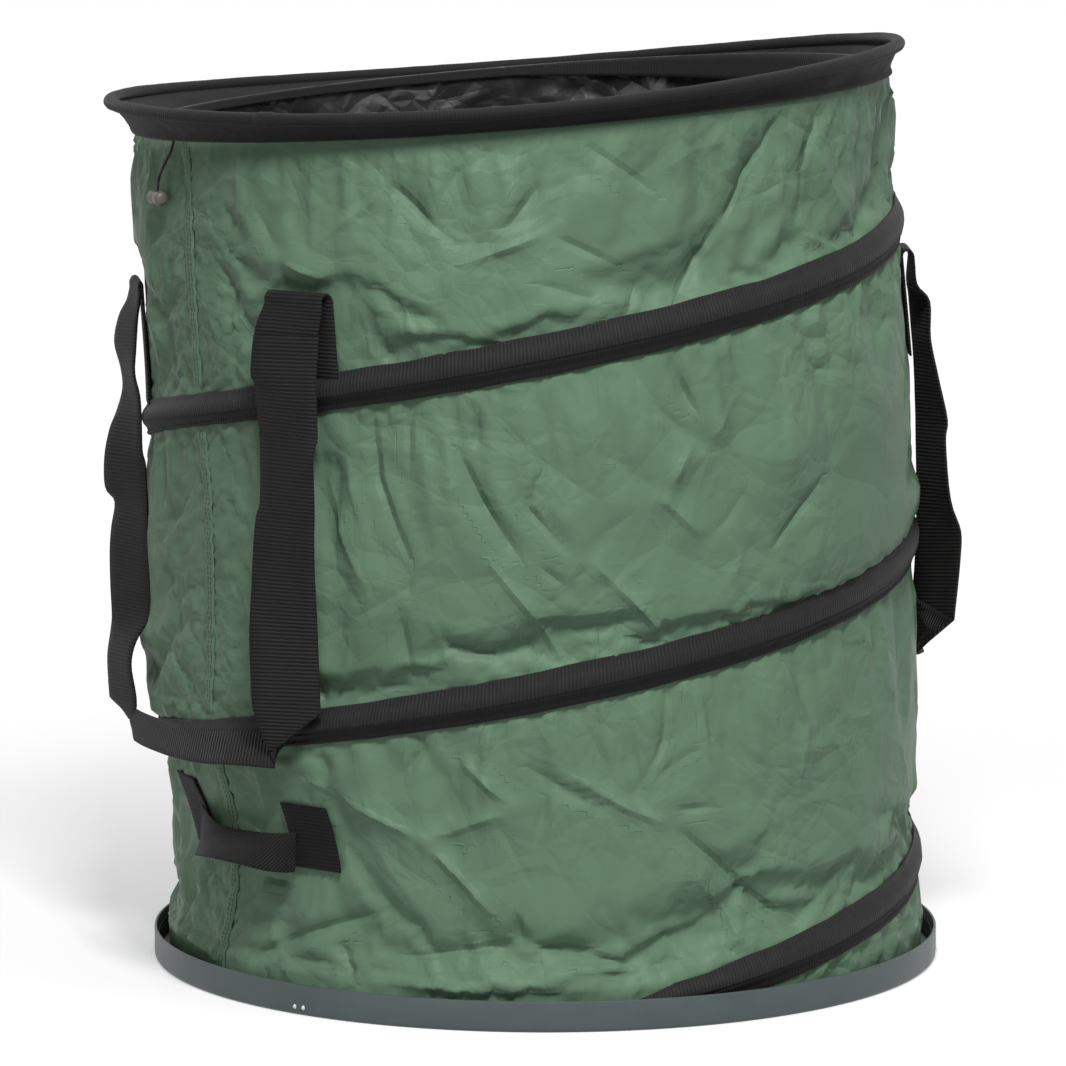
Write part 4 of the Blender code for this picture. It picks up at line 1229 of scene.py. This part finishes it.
class BAG_OT_rim(bpy.types.Operator):
    """The rolled lip over the rim's hoop, its overlapped joint, the flared collar and its inner leaf."""
    bl_idname = "leaf_bag.rim"
    bl_label = "Rim"

    def execute(self, context):
        for make in (make_rolled_lip, make_lip_overlap, make_flared_collar, make_collar_inner_leaf):
            make(bag().rim)
        return {"FINISHED"}


# How far the near handle's sewn ends stand outwards of their even place, in degrees.
TAB_SIDES = {(180, 1): 2.6, (180, -1): -4.5}
# How far sewn webbing stands off the smooth drum, and how long the far handle's sewn ends are.
TAB_OFF = 0.0026
TAB_LENGTH = 0.072
TAB_STEPS = 6
# How far the near handle's back fold has slipped below the hinge line.
FOLD_DROPS = {(180, -1): 0.012}
# Rows of a hanging leg that belong to its fold's piece.
FOLD_ROWS = 6
# Webbing twisted by fewer degrees than this lies round the drum, and its edges come closer to the cloth.
FLAT_TWIST = 12


def fold_height(middle):
    handles = bag().handles
    side = -1 if middle == 180 else 1
    return handles.fold_height + side * handles.level_difference / 2


def edge_pair(middle, across, half):
    """The two edge points of webbing, half a width either side of its middle."""
    return middle - across * half, middle + across * half


class Leg:
    """One leg of a carry handle. The outer edge is the one away from the handle's middle."""

    def __init__(self, middle, end):
        self.middle = middle
        self.end = end
        self.tab_side = TAB_SIDES.get((middle, end), 0)
        self.fold = fold_height(middle)
        self.top = self.fold - FOLD_DROPS.get((middle, end), 0)
        self.width = bag().handles.webbing_width
        self.turn = end * (1 if middle == 180 else -1)

    def edges(self, height, off, side, twist, rock=0.0):
        """Inner and outer edge point. Side is in degrees outwards, twist stands the outer edge off."""
        angle = self.middle + self.turn * (HANDLE_SPREAD + side)
        middle = wall_point(height, angle, off)
        out = tangent(angle) * self.turn
        across = out * cosine(twist) + direction(angle) * sine(twist)
        across += UP * math.tan(math.radians(rock))
        half = self.width / 2
        bent = Vector()
        if abs(twist) < FLAT_TWIST:
            shy = half * half / (2 * bag().drum.wall_radius)
            bent = -direction(angle) * shy * (1 - abs(twist) / FLAT_TWIST)
        return middle - across * half + bent, middle + across * half + bent

    def hang(self, row):
        """The edge points of a row of the hanging leg's table."""
        return self.edges(self.fold - row[0], *row[1:])


# Carry handles' legs: drop below the fold, stand-off, sideways shift in degrees, twist and rock in degrees.
LEFT_FRONT = ((0.0035, 0.0108, 1.9, 0, 0), (0.0200, 0.0135, 1.1, -12, 0), (0.0400, 0.0155, 0.55, -17, 0),
              (0.0560, 0.0175, 0.4, -15, -8), (0.0770, 0.0165, 0.3, -10, -36), (0.1000, 0.0160, 0.15, 2, 0),
              (0.1260, 0.0165, -0.1, 4, 32), (0.1480, 0.0165, -0.45, -3, 6), (0.1680, 0.0170, -0.75, -7, 0),
              (0.2010, 0.0180, -0.8, -14, 0), (0.2360, 0.0205, -0.6, -28, 0), (0.2700, 0.0215, -0.2, -29, 0),
              (0.2840, 0.0215, 0.05, -26, 0))
LEFT_BACK = ((0.0155, 0.0065, -4.3, 6, 0), (0.0260, 0.0085, -3.2, 9, 0), (0.0384, 0.0127, -1.5, 16, 0),
             (0.0562, 0.0161, -2, 18, 0), (0.0740, 0.0155, -2.5, 11, 0), (0.0896, 0.0136, -3, 13, 0),
             (0.1063, 0.0158, -3, 20, 0), (0.1240, 0.0186, -3.5, 27, 12), (0.1382, 0.0198, -4, 35, 0),
             (0.1546, 0.0198, -4.5, 35, -12), (0.1703, 0.0164, -5, 26, 0), (0.1884, 0.0180, -5, 30, 0),
             (0.2102, 0.0191, -5, 33, 10), (0.2321, 0.0193, -5, 34, 0), (0.2503, 0.0192, -5, 33, -10),
             (0.2655, 0.0253, -5, 19, 0), (0.2830, 0.0280, -5, 17, 0), (0.3030, 0.0258, -5, 20, 0),
             (0.3130, 0.0258, -5, 20, 0))
RIGHT_FRONT = ((0.0035, 0.0108, 0.0, 0, 0), (0.0206, 0.0093, 0, 4, 0), (0.0329, 0.0128, 0, 13, 0),
               (0.0603, 0.0119, 0, 11, 0), (0.0893, 0.0139, 0, 16, 0), (0.1185, 0.0169, 0, 23, 0),
               (0.1344, 0.0161, 0, 21, 0), (0.1767, 0.0176, 0, 25, 0), (0.2060, 0.0215, 0, 37, 14),
               (0.2230, 0.0221, 0, 38, 14), (0.2428, 0.0217, 0, 36, 0), (0.2632, 0.0209, 0, 34, 0))
RIGHT_BACK = ((0.0035, 0.0108, 0.0, 0, 0), (0.030, 0.0125, 0.4, 5, 2), (0.065, 0.0140, -0.4, -4, 0),
              (0.100, 0.0160, 0.3, 5, 2), (0.140, 0.0165, -0.4, 4, -3), (0.185, 0.0175, 0.2, -3, 0),
              (0.230, 0.0180, -0.3, 4, 2), (0.266, 0.0205, 0.0, 2, 0))
# Left cross run: angle, stand-off, height and lean in degrees; its top edge leans towards LEAN_TOWARDS.
LEFT_RUN = ((204, 0.0165, 0.1900, 62), (201, 0.0200, 0.1880, 68), (197, 0.0245, 0.1860, 72),
            (191, 0.0268, 0.1830, 73), (184, 0.0267, 0.1822, 72), (177, 0.0255, 0.1815, 72),
            (168, 0.0240, 0.1795, 72))
LEAN_TOWARDS = 62
# Right cross run: share of the way from leg to leg, tilt of the webbing in degrees, and sag.
RIGHT_CROSS = ((0.0, 8, 0.000), (0.12, 20, 0.002), (0.3, 30, 0.004), (0.5, 34, 0.006), (0.7, 28, 0.004),
               (0.88, 18, 0.002), (1.0, 8, 0.000))


def tab_edges(leg):
    """The sewn end, from its foot up to the fold."""
    if leg.middle == 180:
        angle = leg.middle + leg.turn * HANDLE_SPREAD
        foot = spiral_height(angle + 360 * round((120 - angle) / 360)) + 0.012
    else:
        foot = leg.fold - TAB_LENGTH
    out = []
    for i in range(TAB_STEPS + 1):
        height = foot + (leg.top - 0.0003 - foot) * i / TAB_STEPS
        out.append(leg.edges(height, TAB_OFF, leg.tab_side, 0))
    return out


def hairpin_edges(leg, row):
    """The turn from the sewn end, which lies on the cloth, over to the hanging leg's first row."""
    out = []
    reach = (row[1] - TAB_OFF) / 2
    for share in shares(8):
        turn = math.pi * (1 - share)
        off = TAB_OFF + reach * (1 + math.cos(turn))
        side = leg.tab_side + (row[2] - leg.tab_side) * share
        out.append(leg.edges(leg.top + 0.0045 * math.sin(turn), off, side, row[3] * share))
    return out


def across_gap(tab, leg):
    """Two points that span the gap between a sewn end and the leg that hangs over it, square to both."""
    across = (tab[-1][1] - tab[-1][0]).normalized() + (leg[-1][1] - leg[-1][0]).normalized()
    along = (tab[-1][0] - tab[0][0]).normalized() + (leg[0][0] - leg[-1][0]).normalized()
    out = across.cross(along).normalized()
    if out.dot(leg[0][0] - tab[-1][0]) < 0:
        out.negate()
    near = max(point.dot(out) for pair in tab for point in pair)
    far = min(point.dot(out) for pair in leg for point in pair)
    return out * near, out * far


def corner_edges(leg, rows, inset, drop_share):
    """The diagonal fold at a leg's foot, ending in the cross run's first edge pair (bottom, top)."""
    inner, outer = leg.hang(rows[-1])
    inwards = -direction(leg.middle + leg.turn * (HANDLE_SPREAD + rows[-1][2]))
    along = (inner - outer).normalized()
    layers = bag().handles.webbing + 0.0006
    low = inner.lerp(outer, inset) - UP * leg.width * drop_share
    top = outer + along * 0.0005
    crease = [(low + UP * 0.002 + inwards * 0.0003, top - UP * 0.0012)]
    crease.append((low - UP * 0.0002 + inwards * layers / 2, top + inwards * layers / 2 - along * 0.0006))
    crease.append((low + UP * 0.002 + inwards * layers, top - UP * 0.0012 + inwards * layers))
    return crease


def left_run_edges(leg, rows):
    """The left cross run from behind the front corner, then its bend up to the back leg."""
    half = leg.width / 2
    out = []
    for angle, off, height, lean in smooth_rows(LEFT_RUN, 5):
        middle = wall_point(height, angle, off)
        lean = math.radians(lean)
        across = UP * math.cos(lean) + direction(LEAN_TOWARDS) * math.sin(lean)
        out.append(edge_pair(middle, across, half))
    off, side = rows[-1][1:3]
    inner, outer = leg.hang(rows[-1])
    begin, stop = (out[-1][0] + out[-1][1]) / 2, (inner + outer) / 2
    knee = wall_point(begin.z - 0.004, leg.middle + leg.turn * (HANDLE_SPREAD + side), off)
    across0, across1 = (out[-1][1] - out[-1][0]).normalized(), (outer - inner).normalized()
    for t in shares(9)[1:-1]:
        middle = begin * (1 - t) ** 2 + knee * 2 * t * (1 - t) + stop * t * t
        across = across0.lerp(across1, t).normalized()
        out.append(edge_pair(middle, across, half))
    return out


def cross_edges(start, stop, rows, count):
    """The cross run between two corners' folds, each a (bottom, top) pair."""
    half = bag().handles.webbing_width / 2
    begin, end = start[0] + UP * half, stop[0] + UP * half
    angle0, radius0 = polar(begin)
    angle1, radius1 = polar(end)
    angle1 += 360 * round((angle0 - angle1) / 360)
    out = []
    for share in shares(count)[1:-1]:
        tilt, sag = rows_between(rows, share)
        angle = angle0 + (angle1 - angle0) * share
        radius = radius0 + (radius1 - radius0) * share + 0.004 * math.sin(math.pi * share)
        middle = direction(angle) * radius
        middle.z = begin.z + (end.z - begin.z) * share - sag
        reach = math.radians(tilt)
        across = UP * math.cos(reach) - direction(angle) * math.sin(reach)
        middle += direction(angle) * half * math.sin(reach) * 0.55
        out.append(edge_pair(middle, across, half))
    return out


class BAG_OT_carry_handles(bpy.types.Operator):
    """Both carry handles: sewn ends, hairpin folds, long legs and cross runs of one webbing."""
    bl_idname = "leaf_bag.carry_handles"
    bl_label = "Carry handles"

    def execute(self, context):
        handles = bag().handles
        webbing = [made("Black webbing")]
        for side, middle, front_rows, back_rows in (
                ("left", 180, LEFT_FRONT, LEFT_BACK), ("right", 0, RIGHT_FRONT, RIGHT_BACK)):
            legs = []
            for word, end, rows in (("front", 1, front_rows), ("back", -1, back_rows)):
                leg = Leg(middle, end)
                hanging = [leg.hang(row) for row in smooth_rows(rows, 4)]
                tab = tab_edges(leg)
                upper = tab + hairpin_edges(leg, rows[0]) + hanging[:FOLD_ROWS]
                fold = ribbon(f"{side}_fold_{word}", upper, webbing, handles.webbing)
                near, far = across_gap(tab, hanging[2:FOLD_ROWS])
                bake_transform(fold)
                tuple(near)
                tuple(far)
                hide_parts(f"{side}_handle_tab_{word}")
                legs.append((leg, hanging[FOLD_ROWS - 1:]))
            (front, front_edges), (back, back_edges) = legs
            if side == "left":
                corner = corner_edges(front, front_rows, 0.22, 0.66)
                run = left_run_edges(back, back_rows)
                edges = front_edges + corner + run + back_edges[::-1]
            else:
                corner = corner_edges(front, front_rows, 0.0, 0.74)
                far = corner_edges(back, back_rows, 0.0, 1.0)
                run = cross_edges(corner[-1], far[-1], RIGHT_CROSS, 36)
                edges = front_edges + corner + run + far[::-1] + back_edges[::-1]
            loop = ribbon(f"{side}_loop", edges, webbing, handles.webbing)
            stand_in(loop, f"{side}_handle", f"{side}_handle_loop")
            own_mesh(loop)
        return {"FINISHED"}


# Tipping handle's strap: angle from its middle, stand-off, top height, tilt outwards in degrees.
GRIP_ROWS = ((-11.5, 0.0052, 0.1300, 2), (-9.5, 0.0070, 0.1280, 10), (-6.0, 0.0120, 0.1258, 26),
             (-1.5, 0.0185, 0.1246, 45), (3.0, 0.0195, 0.1245, 50), (7.5, 0.0150, 0.1245, 42),
             (10.2, 0.0085, 0.1250, 20), (12.0, 0.0052, 0.1260, 2))
# How far each patch leans, in degrees from its top to its foot.
PATCH_SLANTS = {"front": 1.6, "back": 8.0}
PATCH_SPREAD = 14.5


class BAG_OT_tipping_handle(bpy.types.Operator):
    """The low handle: two sewn patches and a short strap that bows out between them."""
    bl_idname = "leaf_bag.tipping_handle"
    bl_label = "Tipping handle"

    def execute(self, context):
        handles = bag().handles
        half = math.degrees(handles.patch_width / 2 / bag().drum.wall_radius)
        for word, end in (("front", 1), ("back", -1)):
            node = f"tipping_handle_patch_{word}"
            low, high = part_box(node)
            edges = []
            for share in shares(10):
                height = low.z + (high.z - low.z) * share
                slant = PATCH_SLANTS[word] * (0.5 - share)
                angle = GRIP_ANGLE + end * PATCH_SPREAD + slant
                pair = [wall_point(height, angle + way * half, TAB_OFF) for way in (-1, 1)]
                edges.append(tuple(pair))
            # The sewn patches take the webbing darkened with painted shade.
            patch = ribbon(f"tipping_patch_{word}", edges, [made("Shaded webbing")], handles.webbing)
            stand_in(patch, "tipping_patches", node)
        edges = []
        for turn, off, top, tilt in smooth_rows(GRIP_ROWS, 5):
            angle = GRIP_ANGLE + turn
            high = wall_point(top, angle, off)
            reach = math.radians(tilt)
            down = direction(angle) * math.sin(reach) - UP * math.cos(reach)
            edges.append((high + down * handles.grip_width, high))
        strap = ribbon("tipping_strap", edges, [made("Black webbing")], handles.webbing)
        stand_in(strap, "tipping_handle", "tipping_handle_strap")
        return {"FINISHED"}


class BAG_OT_toggle(bpy.types.Operator):
    """The short cord below the collar and the oval toggle on its end."""
    bl_idname = "leaf_bag.toggle"
    bl_label = "Cord and toggle"

    def execute(self, context):
        points = [Vector(row) for row in smooth_rows(CORD_ROUTE, 5)]
        curve = bpy.data.curves.new("pull_cord", "CURVE")
        curve.dimensions = "3D"
        curve.bevel_depth = 0.001
        curve.bevel_resolution = 3
        curve.use_fill_caps = True
        line = curve.splines.new("POLY")
        line.points.add(len(points) - 1)
        for knot, point in zip(line.points, points):
            knot.co = (*point, 1)
        curve.materials.append(made("Cord braid"))
        cord = bpy.data.objects.new("pull_cord", curve)
        context.scene.collection.objects.link(cord)
        stand_in(cord, "rim", "toggle_cord")

        low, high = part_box("toggle")
        centre = (low + high) / 2
        length = (high.xy - low.xy).length * 0.93
        radius = (high.z - low.z) / 2
        rows = ((0.0, 1.0), (0.42, 0.985), (0.7, 0.94), (0.9, 0.85), (0.99, 0.72), (1.0, 0.6), (0.95, 0.42),
                (0.87, 0.24), (0.84, 0.1))
        half = [(radius * across, length / 2 * along) for across, along in rows]
        profile = half + [(across, -along) for across, along in reversed(half)]
        bm = spun(profile, 40)
        turn = Matrix.Rotation(math.radians(175.5), 4, "Z") @ Matrix.Rotation(math.radians(90), 4, "X")
        bmesh.ops.transform(bm, matrix=Matrix.Translation(centre) @ turn, verts=bm.verts)
        bmesh.ops.recalc_face_normals(bm, faces=bm.faces)
        toggle = new_piece("cord_toggle", bm, [made("Toggle plastic")])
        stand_in(toggle, "rim", "toggle")
        length = sum((b - a).length for a, b in zip(points, points[1:]))
        return {"FINISHED"}


class BAG_OT_sheets(bpy.types.Operator):
    """Takes no step; the drum and its floor are built by the earlier steps."""
    bl_idname = "leaf_bag.sheets"
    bl_label = "Declare cloth"

    def execute(self, context):
        return {"FINISHED"}


WHITE = (1, 1, 1)
# The background's light on things, beside the 1 that the eye sees.
AMBIENT = 0.22
# From the bag's axis, where the floor starts to fade into the background and where it has.
FLOOR_FADE = (0.45, 1.3)
# Level, from the object to the camera.
FACING = Vector((-0.4695, -0.8829, 0))
CAMERA_PLACE = Vector((-2.2065, -4.1498, 0.978))
CAMERA_AIM = Vector((-0.0079, 0.0042, 0.307))


def aimed(name, data, place, target):
    """A lamp or camera at a place, turned towards a target."""
    thing = bpy.data.objects.new(name, data)
    thing.location = place
    thing.rotation_euler = (target - place).to_track_quat("-Z", "Y").to_euler()
    bpy.context.scene.collection.objects.link(thing)
    return thing


def soft_lamp(name, place, height, size, power):
    """A square lamp, turned towards a height on the bag's axis."""
    data = bpy.data.lights.new(name, "AREA")
    data.shape = "SQUARE"
    data.size = size
    data.energy = power
    aimed(name, data, place, UP * height)


def make_floor_finish(name):
    """Pale matt board: it takes the shadow near the object and fades into the white background."""
    finish = Finish(name, WHITE, roughness=0.9, specular=0.1, emission_color=(*WHITE, 1))
    distance = finish.vectors("LENGTH", finish.place(uv=False))["Value"]
    near = finish.ramp(distance, *FLOOR_FADE, 1, 0)
    tone = finish.ramp(near, 0, 1, 0.0, 0.62)
    grey = finish.add("CombineColor", red=tone, green=tone, blue=tone).outputs["Color"]
    glow = finish.maths("MULTIPLY", finish.seen_by_eye(), finish.ramp(near, 0, 1, 1.0, 0.42))
    finish.set(finish.shader, {"base_color": grey, "emission_strength": glow})
    return finish.material


class BAG_OT_stage(bpy.types.Operator):
    """A pale floor, soft studio light, a white background and the camera."""
    bl_idname = "leaf_bag.stage"
    bl_label = "Stage"

    def execute(self, context):
        scene = context.scene
        scene.view_settings.view_transform = "Standard"
        right = UP.cross(FACING)

        bm = bmesh.new()
        bmesh.ops.create_circle(bm, cap_ends=True, segments=96, radius=9)
        floor = new_piece("floor_stage", bm, [make_floor_finish("Pale floor")])

        world = bpy.data.worlds.new("Studio")
        scene.world = world
        world.use_nodes = True
        nodes = Nodes(world.node_tree)
        strength = nodes.ramp(nodes.seen_by_eye(), 0, 1, AMBIENT, 1.0)
        nodes.set(nodes.tree.nodes["Background"], {"color": (*WHITE, 1), "strength": strength})

        soft_lamp("Key", FACING * 2.2 + right * 0.2 + UP * 2.8, 0.35, 0.7, 98)
        soft_lamp("Fill", FACING * 2.8 - right * 1.8 + UP * 1.0, 0.3, 2.0, 8)
        soft_lamp("Side", FACING * 1.6 + right * 2.6 + UP * 2.5, 0.3, 1.2, 14)
        soft_lamp("Top", UP * 3.0 - FACING * 0.4, 0.3, 1.6, 20)

        data = bpy.data.cameras.new("Camera")
        data.lens = 221.3
        data.sensor_width = 36
        scene.camera = aimed("Camera", data, CAMERA_PLACE, CAMERA_AIM)
        return {"FINISHED"}


STEPS = (
    "finishes", "wall", "floor", "tray", "spiral", "seams", "rim", "carry_handles",
    "tipping_handle", "toggle", "sheets", "stage",
)


class BAG_PT_panel(bpy.types.Panel):
    """Lists the steps that build the bag."""
    bl_idname = "BAG_PT_panel"
    bl_label = "Leaf bag"
    bl_space_type = "VIEW_3D"
    bl_region_type = "UI"
    bl_category = "Leaf bag"

    def draw(self, context):
        for step in STEPS:
            self.layout.operator(f"leaf_bag.{step}")


CLASSES = (
    DrumSizes, RimSizes, TraySizes, HandleSizes, BagColours, LeafBag,
    BAG_OT_finishes, BAG_OT_wall, BAG_OT_floor, BAG_OT_tray, BAG_OT_spiral, BAG_OT_seams, BAG_OT_rim,
    BAG_OT_carry_handles, BAG_OT_tipping_handle, BAG_OT_toggle, BAG_OT_sheets, BAG_OT_stage, BAG_PT_panel,
)


def register():
    for item in CLASSES:
        bpy.utils.register_class(item)
    bpy.types.Scene.leaf_bag = PointerProperty(type=LeafBag)


def unregister():
    del bpy.types.Scene.leaf_bag
    for item in reversed(CLASSES):
        bpy.utils.unregister_class(item)


def main():
    register()
    for step in STEPS:
        getattr(bpy.ops.leaf_bag, step)()


if __name__ == "__main__":
    main()
